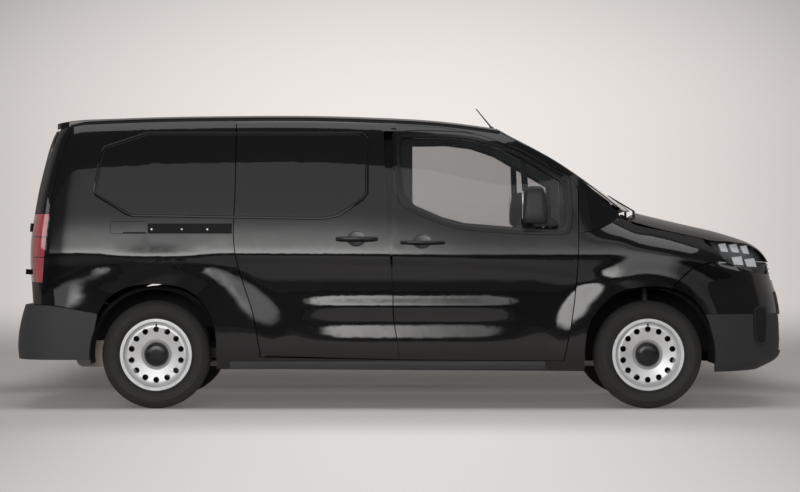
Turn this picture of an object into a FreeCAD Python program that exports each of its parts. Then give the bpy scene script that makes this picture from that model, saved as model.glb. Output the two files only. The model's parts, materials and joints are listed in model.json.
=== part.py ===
"""A compact long-wheelbase panel van: body panels on a floor and frames, doors, running gear and cab.

Millimetres. The origin is on the ground, midway along the overall length and on the centreline.
+X points to the front, +Y to the van's left, +Z up. Outlines are given as shares of the half length,
the half width and the overall height, and smooth lines are drawn through them.
"""
import FreeCAD, Part
import math
import os
from FreeCAD import Vector

# Overall sizes
length = 4753.0
width = 1848.0
height = 1804.0
wheelbase = 2975.0
front_overhang = 892.0
front_track = 1553.0
rear_track = 1567.0
half_length = length / 2
half_width = width / 2
front_axle_x = half_length - front_overhang
rear_axle_x = front_axle_x - wheelbase

# Tyres and rims: 205 mm wide, 60 per cent high, on a 16 inch rim
tyre_radius = 326.0
tyre_width = 205.0
bead_radius = 205.0
rim_flange_radius = 217.0
rim_width = 178.0
rim_wall = 6.0
disc_thickness = 7.0
disc_outset = 36.0
disc_dish_radius = 178.0
rim_hole_count = 14
rim_hole_radius = 18.0
rim_hole_circle_radius = 153.0
cap_radius = 73.0
cap_height = 30.0
cap_wall = 4.0
bolt_count = 5
bolt_circle_radius = 49.0
bolt_hole_radius = 7.0
hub_bore_radius = 29.0
wheel_height = tyre_radius

# Clearances and walls
seam_gap = 6.0
fit_gap = 0.3
overrun = 60.0
wall = 62.0
frame_wall = 46.0
frame_flange = 34.0
wing_wall = 34.0
roof_wall = 34.0
glass_thickness = 5.0
glass_recess = 7.0
bonnet_wall = 28.0
bumper_wall = 46.0
rear_bumper_outset = 8.0

# Wheel arches
front_house_radius = 405.0
rear_house_radius = 398.0
front_house_inner_y = 470.0
rear_house_inner_y = 610.0
house_wall = 18.0

# Plan shape of the two ends
front_round_x = 1500.0
rear_round_x = -1850.0
front_round_power = 2.8
rear_round_power = 5.0

# Flares over the wheels, the shoulder and the lower door moulding
front_flare_height = 23.0
front_flare_inner = 470.0
front_flare_outer = 612.0
rear_flare_height = 19.0
rear_flare_inner = 500.0
rear_flare_outer = 668.0
rear_flare_stretch_share = 0.8
wing_roll = 250.0
moulding_height = 9.0
moulding_dish = 12.0

# Roof, screen and bonnet along the centreline, and how far they fall towards the sides
roof_line_shares = [
    (-0.9257, 0.9507), (-0.9009, 0.969), (-0.8668, 0.9817), (-0.7995, 0.9884), (-0.6926, 0.9939),
    (-0.4515, 1), (-0.2104, 1), (-0.0497, 0.9933), (0.0576, 0.9861), (0.1649, 0.9717),
    (0.2453, 0.9557), (0.2735, 0.949),
]
screen_line_shares = [
    (0.2104, 0.9823), (0.2453, 0.9573), (0.3257, 0.9019), (0.4061, 0.842), (0.4864, 0.7727),
    (0.5668, 0.7012), (0.6202, 0.6558), (0.6396, 0.6391),
]
bonnet_line_shares = [
    (0.547, 0.6863), (0.6202, 0.6613), (0.6737, 0.6441), (0.7541, 0.6192), (0.8344, 0.5942),
    (0.8883, 0.5721), (0.9215, 0.5543), (0.9447, 0.5333), (0.9615, 0.5072), (0.9712, 0.4823),
]
crown_shares = [
    (-0.9257, 0.0606), (-0.6733, 0.0844), (0, 0.0866), (0.2453, 0.0866), (0.4629, 0.0844),
    (0.5929, 0.1277), (0.6787, 0.1342), (0.7696, 0.1342), (0.89, 0.0866), (0.9678, 0.0801),
]
nose_bow_shares = [
    (0.7574, 0), (0.7995, 0.0021), (0.8416, 0.0093), (0.89, 0.0231), (0.9257, 0.0379),
    (0.9678, 0.0547),
]

# Half width by height, and the two ends by height
section_shares = [
    (0.0887, 0.9286), (0.133, 0.9567), (0.1885, 0.974), (0.2661, 0.9816), (0.3548, 0.9784),
    (0.4324, 0.9805), (0.4878, 0.9892), (0.5127, 0.9924), (0.5488, 0.9838), (0.5987, 0.9665),
    (0.6541, 0.9437), (0.7206, 0.9123), (0.7871, 0.8766), (0.8537, 0.8355), (0.9091, 0.7922),
    (0.9507, 0.7522), (0.9784, 0.7089),
]
nose_shares = [
    (0.0998, 0.9144), (0.1247, 0.9426), (0.1497, 0.9838), (0.1774, 0.9998), (0.2439, 1.0019),
    (0.2993, 0.9998), (0.3404, 0.9956), (0.3825, 0.9888), (0.4246, 0.9783), (0.4673, 0.9737),
    (0.4989, 0.9661), (0.5432, 0.9384), (0.5987, 0.8879), (0.6652, 0.8247),
]
tail_shares = [
    (0.1386, -0.9518), (0.2494, -0.956), (0.3603, -0.9598), (0.4435, -0.964), (0.5322, -0.9665),
    (0.5937, -0.9632), (0.6768, -0.9535), (0.7395, -0.9455), (0.8021, -0.935), (0.8647, -0.924),
    (0.9146, -0.9123), (0.9645, -0.8912), (0.9978, -0.8668),
]
bumper_tail_shares = [
    (0.1497, -0.9926), (0.2007, -0.9964), (0.2439, -0.9947), (0.2882, -0.9888), (0.3187, -0.983),
    (0.3431, -0.9771), (0.3659, -0.972),
]
shoulder_shares = [
    (-0.9678, 0.5155), (-0.7153, 0.5166), (-0.4258, 0.5155), (-0.2104, 0.5127), (-0.0303, 0.5083),
    (0.1262, 0.5), (0.2525, 0.49), (0.3699, 0.4756), (0.446, 0.459), (0.547, 0.4435),
]

# Places used by several pieces
screen_top_x = 583.0
glass_line_z = 1250.0
roof_edge_z = 1764.0
roof_edge_y = 655.0
shoulder_tuck = 10.0
shoulder_depth = 60.0
door_front_x = 1064.0
wing_top_x = 1330.0
wing_top_z = 1190.0
pillar_foot_x = 1316.0
pillar_foot_y = 745.0
pillar_foot_drop = 60.0
pillar_foot_wall = 30.0
pillar_foot_width = 114.0
panel_top_z = 1790.0
wing_roll_depth = 150.0
moulding_rear_x = -730.0
moulding_front_x = 830.0
moulding_run = 420.0
moulding_top_z = 677.0
moulding_ramp = 50.0
moulding_mid_z = 520.0
moulding_foot_z = 400.0
panel_mesh = 24.0
frame_mesh = 70.0
half_gap = seam_gap / 2
door_drop = 24.0
grille_low_z = 772.0
grille_high_z = 880.0
grille_half_width = 455.0
lamp_depth = 90.0
tail_lamp_depth = 45.0
intake_low_z = 330.0
intake_high_z = 560.0
intake_half_width = 480.0
bumper_low_z = 222.0
rear_bumper_low_z = 296.0
rear_door_half_width = 650.0
rear_door_low_z = 640.0
rear_door_high_z = 1760.0
rear_split_y = -110.0
sill_inner_y = 790.0
load_floor_z = 530.0
load_floor_thickness = 45.0
cab_floor_z = 345.0
cab_floor_thickness = 40.0
bulkhead_x = -70.0
bulkhead_thickness = 16.0
firewall_x = 1035.0
firewall_thickness = 18.0
firewall_top_z = 1090.0
floor_rear_x = -2110.0
floor_tail_x = -2195.0
rear_aperture_half_width = 600.0
roof_bar_places = (100.0, -1300.0)
roof_bar_half_span = 610.0
roof_bar_hole_radius = 4.2
lashing_middle_x = -1100.0
lashing_span_x = 1500.0
lashing_span_y = 1000.0
lashing_hole_radius = 5.0
tow_eye_y = -420.0
tow_eye_z = 600.0
tow_eye_radius = 9.0
tow_eye_depth = 60.0
tow_cover_radius = 36.0
beam_face_x = 2240.0
rear_hinge_x = -2284.0
rear_hinge_y = 655.0
rear_hinge_z = 960.0
rear_hinge_lean = 0.1
rear_hinge_places = (790.0, 1070.0)
rear_split_gap = 9.0
rear_edge_relief = 3.4
rear_frame_reach = 255.0
roof_tail_x = -2141.0
rear_hinge_radius = 9.0
rear_hinge_pin_radius = 4.5
rear_hinge_lug = 20.0
rear_hinge_height = 52.0
rear_hinge_reach = 84.0
door_hinge_x = 1062.0
door_hinge_y = 925.0
check_strap_radius = 76.0
check_strap_width = 12.0
check_strap_z = 740.0
check_strap_height = 30.0
check_strap_start = 66.0
check_strap_end = 125.0
check_slot_end = 130.0
bonnet_hinge_x = 1340.0
bonnet_hinge_z = 1165.0
bonnet_hinge_y = 688.0
bonnet_hinge_width = 12.0
bonnet_hinge_radius = 10.0
bonnet_hinge_pin_radius = 4.0
bumper_bracket_y = 290.0
bumper_bracket_half = 35.0
bumper_bracket_low_z = 575.0
bumper_bracket_high_z = 635.0
bumper_bracket_reach = 80.0
rear_bracket_y = 340.0
rear_bracket_x = -2240.0
rear_bracket_low_z = 430.0
rear_bracket_high_z = 484.0
strut_clearance = 4.0
king_pin_top_y = 600.0
king_pin_foot_y = 735.0
king_pin_top_z = 900.0
king_pin_foot_z = 200.0

# Seams of one side, seen from the side
slide_rear_seam_shares = [
    (-0.4305, 0.9922), (-0.4263, 0.8869), (-0.4263, 0.7661), (-0.4288, 0.643), (-0.4296, 0.5865),
    (-0.4242, 0.515), (-0.4107, 0.4435), (-0.3892, 0.3603), (-0.3724, 0.2749), (-0.3652, 0.2106),
    (-0.3619, 0.1912),
]
b_seam_shares = [
    (-0.0497, 0.9922), (-0.0463, 0.8869), (-0.0417, 0.7761), (-0.0353, 0.5948), (-0.0295, 0.4823),
    (-0.0244, 0.3642), (-0.0219, 0.2882), (-0.0143, 0.2361), (-0.0088, 0.1657), (-0.008, 0.1386),
]
door_front_seam_shares = [
    (0.4477, 0.7328), (0.4473, 0.6652), (0.4469, 0.5915), (0.4452, 0.4989), (0.4401, 0.4047),
    (0.4284, 0.2882), (0.409, 0.1613),
]
door_top_seam_shares = [
    (-0.0497, 0.9584), (0.0379, 0.9523), (0.122, 0.9429), (0.1936, 0.9229), (0.2478, 0.8991),
    (0.3009, 0.8659), (0.3652, 0.8226), (0.4145, 0.7871), (0.4376, 0.7633), (0.4477, 0.7328),
]
door_bottom_shares = [
    (-0.3577, 0.1785), (-0.2117, 0.1741), (-0.0168, 0.1669), (0.409, 0.1613),
]
sill_bottom_shares = [
    (-0.4721, 0.133), (0.4616, 0.1264),
]
bonnet_seam_shares = [
    (0.5596, 0.6414), (0.5929, 0.6192), (0.6455, 0.6031), (0.6787, 0.5948), (0.7238, 0.582),
    (0.7696, 0.5693), (0.7835, 0.5643),
]
wing_rear_shares = [
    (0.4477, 0.5898), (0.4755, 0.592), (0.5007, 0.6009), (0.526, 0.6164), (0.5596, 0.6414),
]
wing_bumper_seam_shares = [
    (0.6838, 0.4002), (0.6985, 0.4268), (0.7355, 0.469), (0.7785, 0.4878), (0.8311, 0.4878),
]
headlamp_shares = [
    (0.7835, 0.5615), (0.8374, 0.5588), (0.89, 0.5504), (0.9215, 0.5299), (0.9392, 0.5072),
    (0.9447, 0.4767), (0.9367, 0.4496), (0.9022, 0.4562), (0.8626, 0.4701), (0.8311, 0.4878),
    (0.8058, 0.5211),
]
quarter_rear_shares = [
    (-0.8433, 0.9645), (-0.847, 0.9484), (-0.863, 0.8897), (-0.8815, 0.7899), (-0.8954, 0.699),
    (-0.9001, 0.6524),
]
tail_lamp_front_shares = [
    (-0.9001, 0.6524), (-0.9173, 0.4224),
]
rear_bumper_top_shares = [
    (-1.0099, 0.3465), (-0.8971, 0.3459), (-0.8332, 0.3326), (-0.7751, 0.3182),
]
front_arch_shares = [
    (0.4612, 0.1109), (0.4624, 0.194), (0.4667, 0.2494), (0.4797, 0.3021), (0.507, 0.3503),
    (0.5428, 0.3864), (0.5807, 0.4035), (0.6244, 0.4096), (0.6733, 0.4058), (0.7153, 0.3891),
    (0.7511, 0.3503), (0.7742, 0.3021), (0.7852, 0.2494), (0.7886, 0.194), (0.7886, 0.1109),
]
rear_arch_shares = [
    (-0.7865, 0.1109), (-0.7856, 0.194), (-0.7827, 0.2528), (-0.7713, 0.3215), (-0.7364, 0.3825),
    (-0.6901, 0.4102), (-0.627, 0.418), (-0.5723, 0.4102), (-0.5315, 0.3869), (-0.5045, 0.352),
    (-0.4864, 0.3121), (-0.4755, 0.2589), (-0.4721, 0.194), (-0.4717, 0.1109),
]
window_shares = [
    (-0.0072, 0.8869), (0.0038, 0.9091), (0.1216, 0.9108), (0.1931, 0.8986), (0.2643, 0.8659),
    (0.3177, 0.832), (0.4035, 0.7611), (0.4107, 0.7467), (0.4111, 0.6186), (0.369, 0.6048),
    (0.2626, 0.6103), (0.1561, 0.622), (0.1027, 0.6408), (0.032, 0.6807), (0.0038, 0.7184),
]
recess_shares = [
    (-0.6564, 0.9246), (-0.762, 0.8775), (-0.7726, 0.8481), (-0.7835, 0.7239), (-0.7785, 0.7151),
    (-0.7019, 0.653), (-0.6901, 0.648), (-0.223, 0.6375), (-0.202, 0.6375), (-0.1624, 0.648),
    (-0.1035, 0.7007), (-0.0909, 0.7212), (-0.0909, 0.9035), (-0.1052, 0.9246),
]
slide_window_divider_x = 736.0
divider_width = 34.0


def scaled(shares, first, second):
    """Points given as shares of two sizes, in millimetres."""
    return [(a * first, b * second) for a, b in shares]


class Curve:
    """A smooth line through points, by height or by length: a natural cubic, straight beyond its ends."""

    def __init__(self, points):
        points = sorted(points)
        self.at = [p[0] for p in points]
        self.value = [p[1] for p in points]
        count = len(points)
        step = [self.at[i + 1] - self.at[i] for i in range(count - 1)]
        rise = [(self.value[i + 1] - self.value[i]) / step[i] for i in range(count - 1)]
        self.bend = [0.0] * count
        pivot = [1.0] * count
        load = [0.0] * count
        for i in range(1, count - 1):
            share = step[i - 1] / pivot[i - 1] if i > 1 else 0.0
            pivot[i] = 2 * (step[i - 1] + step[i]) - share * step[i - 1]
            load[i] = 6 * (rise[i] - rise[i - 1]) - share * load[i - 1]
        for i in range(count - 2, 0, -1):
            self.bend[i] = (load[i] - step[i] * self.bend[i + 1]) / pivot[i]

    def __call__(self, place):
        last = len(self.at) - 2
        i = 0
        while i < last and place > self.at[i + 1]:
            i += 1
        step = self.at[i + 1] - self.at[i]
        rise = (self.value[i + 1] - self.value[i]) / step
        if place < self.at[0]:
            return self.value[0] + (rise - step * self.bend[1] / 6) * (place - self.at[0])
        if place > self.at[-1]:
            return self.value[-1] + (rise + step * self.bend[-2] / 6) * (place - self.at[-1])
        after = (place - self.at[i]) / step
        before = 1 - after
        curl = (before ** 3 - before) * self.bend[i] + (after ** 3 - after) * self.bend[i + 1]
        return before * self.value[i] + after * self.value[i + 1] + curl * step ** 2 / 6


def ease(value, low, high):
    """Rises smoothly from 0 at low to 1 at high."""
    share = min(max((value - low) / (high - low), 0.0), 1.0)
    return share * share * (3 - 2 * share)


roof_line = Curve(scaled(roof_line_shares, half_length, height))
screen_line = Curve(scaled(screen_line_shares, half_length, height))
bonnet_line = Curve(scaled(bonnet_line_shares, half_length, height))
crown_line = Curve(scaled(crown_shares, half_length, half_width))
nose_bow_line = Curve(scaled(nose_bow_shares, half_length, half_length))
section_line = Curve(scaled(section_shares, height, half_width))
nose_line = Curve(scaled(nose_shares, height, half_length))
tail_line = Curve(scaled(tail_shares, height, half_length))
bumper_tail_line = Curve(scaled(bumper_tail_shares, height, half_length))
shoulder_line = Curve(scaled(shoulder_shares, half_length, height))
bonnet_seam_line = Curve(scaled(bonnet_seam_shares, half_length, height))


def top_height(line, x, y):
    """Height of the roof, the screen or the bonnet over a point of the plan."""
    out = (y / half_width) ** 2
    bow = max(nose_bow_line(x), 0.0) if x > front_round_x else 0.0
    return line(x + bow * out) - crown_line(x) * out


def flare(x, z, axle_x, reach, inner, outer, stretch):
    """How far the body stands out over a wheel: full near the arch, gone at the groove round it."""
    away = math.hypot((x - axle_x) * stretch, z - wheel_height)
    return reach * (1 - ease(away, inner, outer))


def roof_fall(x):
    """How much lower the roof edge is at x than at the roof's highest point."""
    high = roof_line(-half_length / 3)
    return max(high - roof_line(min(x, screen_top_x)), 0.0) * (1 - ease(x, screen_top_x, front_round_x))


def section_width(x, z):
    """Half width of the body between its rounded ends, with the roof edge carried down where the roof falls."""
    rise = z + roof_fall(x) * ease(z, glass_line_z, roof_edge_z - roof_fall(x))
    return section_line(rise)


def end_factor(x, z, nose, tail):
    """How far the plan narrows towards the rounded nose or tail: 1 along the side, 0 at the centreline."""
    if x > front_round_x:
        share = min((x - front_round_x) / (nose(z) - front_round_x), 1.0)
        return (1 - share ** front_round_power) ** (1 / front_round_power)
    if x < rear_round_x:
        share = min((x - rear_round_x) / (tail(z) - rear_round_x), 1.0)
        return (1 - share ** rear_round_power) ** (1 / rear_round_power)
    return 1.0


def flank(x, z):
    """Half width of the body's outside, before the plan narrows towards the nose and the tail."""
    y = section_width(x, z)
    y -= shoulder_tuck * ease(shoulder_line(x) - z, 0.0, shoulder_depth) * (1 - ease(x, door_front_x, front_axle_x))
    y += flare(x, z, front_axle_x, front_flare_height, front_flare_inner, front_flare_outer, 1)
    y += flare(x, z, rear_axle_x, rear_flare_height, rear_flare_inner, rear_flare_outer, rear_flare_stretch_share)
    along = ease(x, moulding_rear_x, moulding_rear_x + moulding_run)
    along -= ease(x, moulding_front_x - moulding_run, moulding_front_x)
    ramp = 1 - ease(z, moulding_top_z - moulding_ramp, moulding_top_z)
    dish = ease(z, moulding_foot_z, moulding_mid_z) - ease(z, moulding_mid_z, moulding_top_z - moulding_ramp)
    y += along * (moulding_height * ramp - moulding_dish * dish)
    if x > door_front_x:
        edge = bonnet_seam_line(max(x, wing_top_x))
        across = ease(z, edge - wing_roll_depth, edge + wing_roll_depth)
        y -= wing_roll * ease(x, door_front_x, wing_top_x) * across
    return y


def side_width(x, z):
    """Half width of the body's outside at a point seen from the side."""
    return flank(x, z) * end_factor(x, z, nose_line, tail_line)


def surface(rows):
    """A smooth surface drawn by a net of points: rows of equal length, all running the same way."""
    net = Part.BSplineSurface()
    ends = [knots(len(rows)), knots(len(rows[0]))]
    net.buildFromPolesMultsKnots(
        rows, ends[0][0], ends[1][0], ends[0][1], ends[1][1], False, False, 3, 3
    )
    return net.toShape()


def knots(count):
    """How often each knot is held, and the knots, of an even cubic through a row of points."""
    inner = count - 4
    return [4] + [1] * inner + [4], list(range(inner + 2))


def line_edge(points):
    """The edge of a surface, along its outermost row of points."""
    held, places = knots(len(points))
    curve = Part.BSplineCurve()
    curve.buildFromPolesMultsKnots(points, held, places, False, 3)
    return curve.toShape()


def slab(outer_rows, inner_rows):
    """A solid wall between two surfaces whose four sides are ruled from edge to edge."""
    faces = [surface(outer_rows), surface(inner_rows)]
    sides = [
        (outer_rows[0], inner_rows[0]),
        (outer_rows[-1], inner_rows[-1]),
        ([row[0] for row in outer_rows], [row[0] for row in inner_rows]),
        ([row[-1] for row in outer_rows], [row[-1] for row in inner_rows]),
    ]
    for outer, inner in sides:
        faces.append(Part.makeRuledSurface(line_edge(outer), line_edge(inner)))
    shell = Part.makeShell(faces)
    shell.sewShape()
    solid = Part.makeSolid(shell)
    if solid.Volume < 0:
        solid.reverse()
    return solid


def spread(low, high, count):
    """Evenly spread places from low to high."""
    return [low + (high - low) * i / (count - 1) for i in range(count)]


def side_net(x_low, x_high, z_low, z_high, inset, fine, width_at=side_width):
    """A net of points on the right side of the body, moved inwards by inset."""
    columns = max(int((x_high - x_low) / fine) + 2, 5)
    rows = max(int((z_high - z_low) / fine) + 2, 5)
    return [
        [Vector(x, inset - width_at(x, z), z) for x in spread(x_low, x_high, columns)]
        for z in spread(z_low, z_high, rows)
    ]


def side_slab(x_low, x_high, z_low, z_high, outset, depth):
    """The right wall of the body from its outside, moved out by outset, to depth inside it."""
    outer = side_net(x_low, x_high, z_low, z_high, -outset, panel_mesh)
    inner = side_net(x_low, x_high, z_low, z_high, depth, frame_mesh, plain_width)
    return slab(outer, inner)


def plain_width(x, z):
    """Half width of the body without flares or mouldings, for the inside of its walls."""
    return section_width(x, z) * end_factor(x, z, nose_line, tail_line)


def top_slab(line, x_low, x_high, y_reach, depth, across=None):
    """A wall under the roof, the screen or the bonnet, to depth below its outside."""
    columns = max(int((x_high - x_low) / panel_mesh) + 2, 6)
    places = spread(-y_reach, y_reach, 25)
    outer = [
        [Vector(x, y, top_height(line, x, y)) for x in spread(x_low, x_high, columns)]
        for y in places
    ]
    inner = [
        [Vector(x, y, top_height(line, x, y) - depth) for x in spread(x_low, x_high, columns)]
        for y in places
    ]
    return slab(outer, inner)


def curve_edge(points, plane):
    """A straight or a smooth edge through points of an upright plane along x, or of the plan or the back."""
    places = [plane(*p) for p in points]
    if len(places) == 2:
        return Part.makeLine(places[0], places[1])
    curve = Part.BSplineCurve()
    curve.interpolate(places)
    return curve.toShape()


def prism(runs, plane, direction):
    """A solid with the outline of joined runs of points, each straight or smooth, pushed along direction."""
    wire = Part.Wire([curve_edge(run, plane) for run in runs])
    return Part.Face(wire).extrude(direction)


def side_prism(runs, y_low=-half_width * 1.5, y_high=0.0):
    """A solid seen from the side with the outline of the runs, from y_low to y_high."""
    return prism(runs, lambda x, z: Vector(x, y_low, z), Vector(0, y_high - y_low, 0))


def closed(points):
    """Straight runs that join points into a loop."""
    return [[points[i - 1], points[i]] for i in range(len(points))]


def moved(points, dx=0.0, dz=0.0):
    """Points moved along x and z."""
    return [(x + dx, z + dz) for x, z in points]


def box(x_low, x_high, y_low, y_high, z_low, z_high):
    """A block between two corners."""
    size = (x_high - x_low, y_high - y_low, z_high - z_low)
    return Part.makeBox(*size, Vector(x_low, y_low, z_low))


def cylinder_y(x, z, radius, y_low, y_high):
    """A round bar across the van."""
    return Part.makeCylinder(radius, y_high - y_low, Vector(x, y_low, z), Vector(0, 1, 0))


def mirrored(shape):
    """The same piece on the other side of the van."""
    return shape.mirror(Vector(0, 0, 0), Vector(0, 1, 0))


def biggest(shape):
    """The largest solid of a cut shape."""
    return max(shape.Solids, key=lambda solid: solid.Volume)


parts = {}


def both_sides(name, shape):
    """Keeps a right-hand piece and its mirror image as two parts."""
    parts[name + "_right"] = shape
    parts[name + "_left"] = mirrored(shape)


slide_rear_seam = scaled(slide_rear_seam_shares, half_length, height)
b_seam = scaled(b_seam_shares, half_length, height)
door_front_seam = scaled(door_front_seam_shares, half_length, height)
door_top_seam = scaled(door_top_seam_shares, half_length, height)
door_bottom = scaled(door_bottom_shares, half_length, height)
front_arch = scaled(front_arch_shares, half_length, height)
rear_arch = scaled(rear_arch_shares, half_length, height)


def roof_edge_height(x, down=0.0):
    """Height of the roof's edge, where roof and side meet."""
    return top_height(roof_line, x, roof_edge_y) - down


def roof_room(gap):
    """The space of the roof panel's edge on the right side, with a gap round it."""
    under = [(x, roof_edge_height(x, roof_wall + gap)) for x in spread(-2140, screen_top_x + overrun, 28)]
    top = height + overrun
    runs = [under, [under[-1], (under[-1][0], top)], [(under[-1][0], top), (under[0][0], top)]]
    runs.append([(under[0][0], top), under[0]])
    return side_prism(runs, -roof_edge_y - gap, 0.0)


def rear_seam(shift):
    """The seam behind the sliding door from the roof's edge down, moved along x by shift."""
    seam = [p for p in moved(slide_rear_seam, shift) if p[1] < roof_edge_height(p[0])]
    return [(seam[0][0], roof_edge_height(seam[0][0]))] + seam


def make_quarter_panel():
    """Side panel behind the sliding door, cut round the rear wheel, up to the roof."""
    sill = scaled(sill_bottom_shares, half_length, height)[0]
    seam = rear_seam(-half_gap)
    wall_piece = right_end_slab(
        False, tail_line, sill[1] - overrun, panel_top_z, 0.0, wall, seam[-1][0] + overrun
    )
    arch = moved(rear_arch)
    rear = scaled(quarter_rear_shares, half_length, height)
    lamp = scaled(tail_lamp_front_shares, half_length, height)
    top = [(x, roof_edge_height(x)) for x in spread(rear[0][0], seam[0][0], 9)]
    bumper = scaled(rear_bumper_top_shares, half_length, height)
    under = [(lamp[-1][0], bumper[1][1] + half_gap)] + moved(bumper[1:3], 0, half_gap) + [arch[3]]
    runs = [
        top,
        seam,
        [seam[-1], (seam[-1][0], sill[1])],
        [(seam[-1][0], sill[1]), sill],
        [sill] + arch[3:-1][::-1],
        under[::-1],
        [under[0], lamp[-1]],
        [lamp[-1], lamp[0]],
        rear[::-1],
        [rear[0], top[0]],
    ]
    panel = wall_piece.common(side_prism([r for r in runs if r[0] != r[-1]], -half_width - overrun, -rear_hinge_y + rear_frame_reach))
    return biggest(panel.cut(roof_room(fit_gap)))


def make_sliding_door():
    """Sliding side door, whole height from the roof edge to the sill, with a blank window recess."""
    wall_piece = side_slab(-1060, 0, 280, 1790, 0.0, wall)
    rear = [p for p in moved(slide_rear_seam, half_gap) if p[1] < roof_edge_height(p[0], door_drop)]
    rear = [(rear[0][0], roof_edge_height(rear[0][0], door_drop))] + rear
    front = [p for p in moved(b_seam, -half_gap) if p[1] < roof_edge_height(p[0], door_drop)]
    front = [(front[0][0], roof_edge_height(front[0][0], door_drop))] + front[:-1]
    top = [(x, roof_edge_height(x, door_drop)) for x in spread(rear[0][0], front[0][0], 7)]
    bottom = [rear[-1], (-830, 322), front[-1]]
    runs = [top, front, [front[-1], bottom[1]], [bottom[1], rear[-1]], rear[::-1]]
    return biggest(wall_piece.common(side_prism(runs)).cut(roof_room(fit_gap)))


def check_strap(grown, end):
    """A right door's check strap: a flat arc about the hinge axis, grown all round, from the pillar to an angle."""
    foot = Vector(door_hinge_x, -door_hinge_y, check_strap_z - grown)
    turn = end - check_strap_start
    rings = [
        Part.makeCylinder(
            check_strap_radius + side * (check_strap_width / 2 + grown),
            check_strap_height + 2 * grown, foot, Vector(0, 0, 1), turn
        )
        for side in (1, -1)
    ]
    strap = rings[0].cut(rings[1])
    strap.rotate(foot, Vector(0, 0, 1), check_strap_start)
    return strap


def make_front_door():
    """Front side door with its window frame; the window is cut right through."""
    wall_piece = side_slab(-60, 1090, 270, 1760, 0.0, wall)
    rear = [p for p in moved(b_seam, half_gap) if p[1] < door_top_seam[0][1]]
    rear = [(rear[0][0], door_top_seam[0][1] - half_gap)] + rear[:-1]
    top = moved(door_top_seam[:-1], 0, -half_gap)
    top = [rear[0]] + top[1:]
    front = moved(door_front_seam, -half_gap)
    corner = [top[-1], front[0]]
    runs = [top, corner, front, [front[-1], rear[-1]], rear[::-1]]
    door = wall_piece.common(side_prism(runs))
    window = side_prism(closed(scaled(window_shares, half_length, height)))
    return biggest(door.cut([window, roof_room(seam_gap), check_strap(fit_gap, check_slot_end)]))


def make_door_glass():
    """Pane in the front door's window, set in from the outside of the door."""
    pane = side_slab(-60, 1040, 1060, 1700, -glass_recess, glass_recess + glass_thickness)
    outline = scaled(window_shares, half_length, height)
    return pane.common(side_prism(closed(outline)))


def wing_layer(outset, depth):
    """The wall of the front wings and the nose, as far back as the door's slanting seam."""
    foot = door_front_seam[-1]
    return right_end_slab(True, nose_line, foot[1] - overrun, wing_top_z, outset, depth, foot[0] - overrun)


def make_front_wing():
    """Front wing from the door to the headlamp, over the wheel arch."""
    wall_piece = wing_layer(0.0, wing_wall)
    rear = moved([p for p in door_front_seam if p[1] < 1100], half_gap)
    top = scaled(wing_rear_shares, half_length, height)
    top = [(rear[0][0], top[0][1])] + top[1:]
    rear = [top[0]] + rear[1:]
    bonnet = moved(scaled(bonnet_seam_shares, half_length, height), 0, -half_gap)
    bonnet = [top[-1]] + bonnet[1:]
    lamp = scaled(headlamp_shares, half_length, height)
    seam = moved(scaled(wing_bumper_seam_shares, half_length, height), 0, half_gap)
    bonnet[-1] = (lamp[0][0] - half_gap, bonnet[-1][1])
    lamp_rear = [bonnet[-1], (lamp[-1][0] - half_gap, lamp[-1][1]), (seam[-1][0] - seam_gap, seam[-1][1])]
    seam = seam[:-1] + [lamp_rear[-1]]
    foot = rear[-1]
    arch = [p for p in front_arch if p[0] < seam[0][0] - 10 and p[1] > foot[1]]
    arch = [(arch[0][0], foot[1])] + arch + [(seam[0][0], seam[0][1])]
    runs = [
        top, bonnet, lamp_rear, seam[::-1], arch[::-1], [arch[0], foot], rear[::-1],
    ]
    return biggest(wall_piece.common(side_prism([r for r in runs if r[0] != r[-1]], -half_width - overrun, -rear_hinge_y + rear_frame_reach)))


def outer_plan(z, front, inset, line, stop_x, count):
    """Points round one end of the van at height z, from the right side at stop_x over the centreline to the left."""
    start = front_round_x if front else rear_round_x
    power = front_round_power if front else rear_round_power
    reach = abs(line(z) - start) - inset
    sign = 1 if front else -1
    half = []
    for i in range(count + 1):
        turn = math.radians(90) * i / count
        x = start + sign * reach * math.cos(turn) ** (2 / power)
        half.append((x, (flank(x, z) - inset) * math.sin(turn) ** (2 / power)))
    if (start - stop_x) * sign > 0:
        steps = max(int(abs(stop_x - start) / frame_mesh), 2)
        for x in spread(start, stop_x, steps + 1)[1:]:
            half.append((x, flank(x, z) - inset))
    right = [Vector(x, -y, z) for x, y in half]
    left = [Vector(x, y, z) for x, y in half]
    return right[::-1] + left[1:]


def end_slab(front, line, z_low, z_high, outset, depth, stop_x, count=18):
    """A wall that wraps round the nose or the tail, from one side of the van to the other."""
    heights = spread(z_low, z_high, max(int((z_high - z_low) / panel_mesh) + 2, 6))
    outer = [outer_plan(z, front, -outset, line, stop_x, count) for z in heights]
    inner = [outer_plan(z, front, depth, line, stop_x, count) for z in heights]
    return slab(outer, inner)


def right_end_slab(front, line, z_low, z_high, outset, depth, stop_x, count=18):
    """The right half of a wall round the nose or the tail, up to the centreline."""
    heights = spread(z_low, z_high, max(int((z_high - z_low) / panel_mesh) + 2, 6))
    rows = [[outer_plan(z, front, inset, line, stop_x, count) for z in heights] for inset in (-outset, depth)]
    half = (len(rows[0][0]) + 1) // 2
    return slab(*[[row[:half] for row in side] for side in rows])


def house(axle_x, radius, y_inner, y_outer):
    """The round space of a wheel arch on the right side, with straight sides down to the ground."""
    bar = cylinder_y(axle_x, wheel_height, radius, -y_outer, -y_inner)
    under = box(axle_x - radius, axle_x + radius, -y_outer, -y_inner, -overrun, wheel_height)
    return bar.fuse(under)


def both_houses(axle_x, radius, y_inner):
    """The wheel arch spaces of both sides."""
    right = house(axle_x, radius, y_inner, half_width + overrun)
    return right.fuse(mirrored(right))


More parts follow.
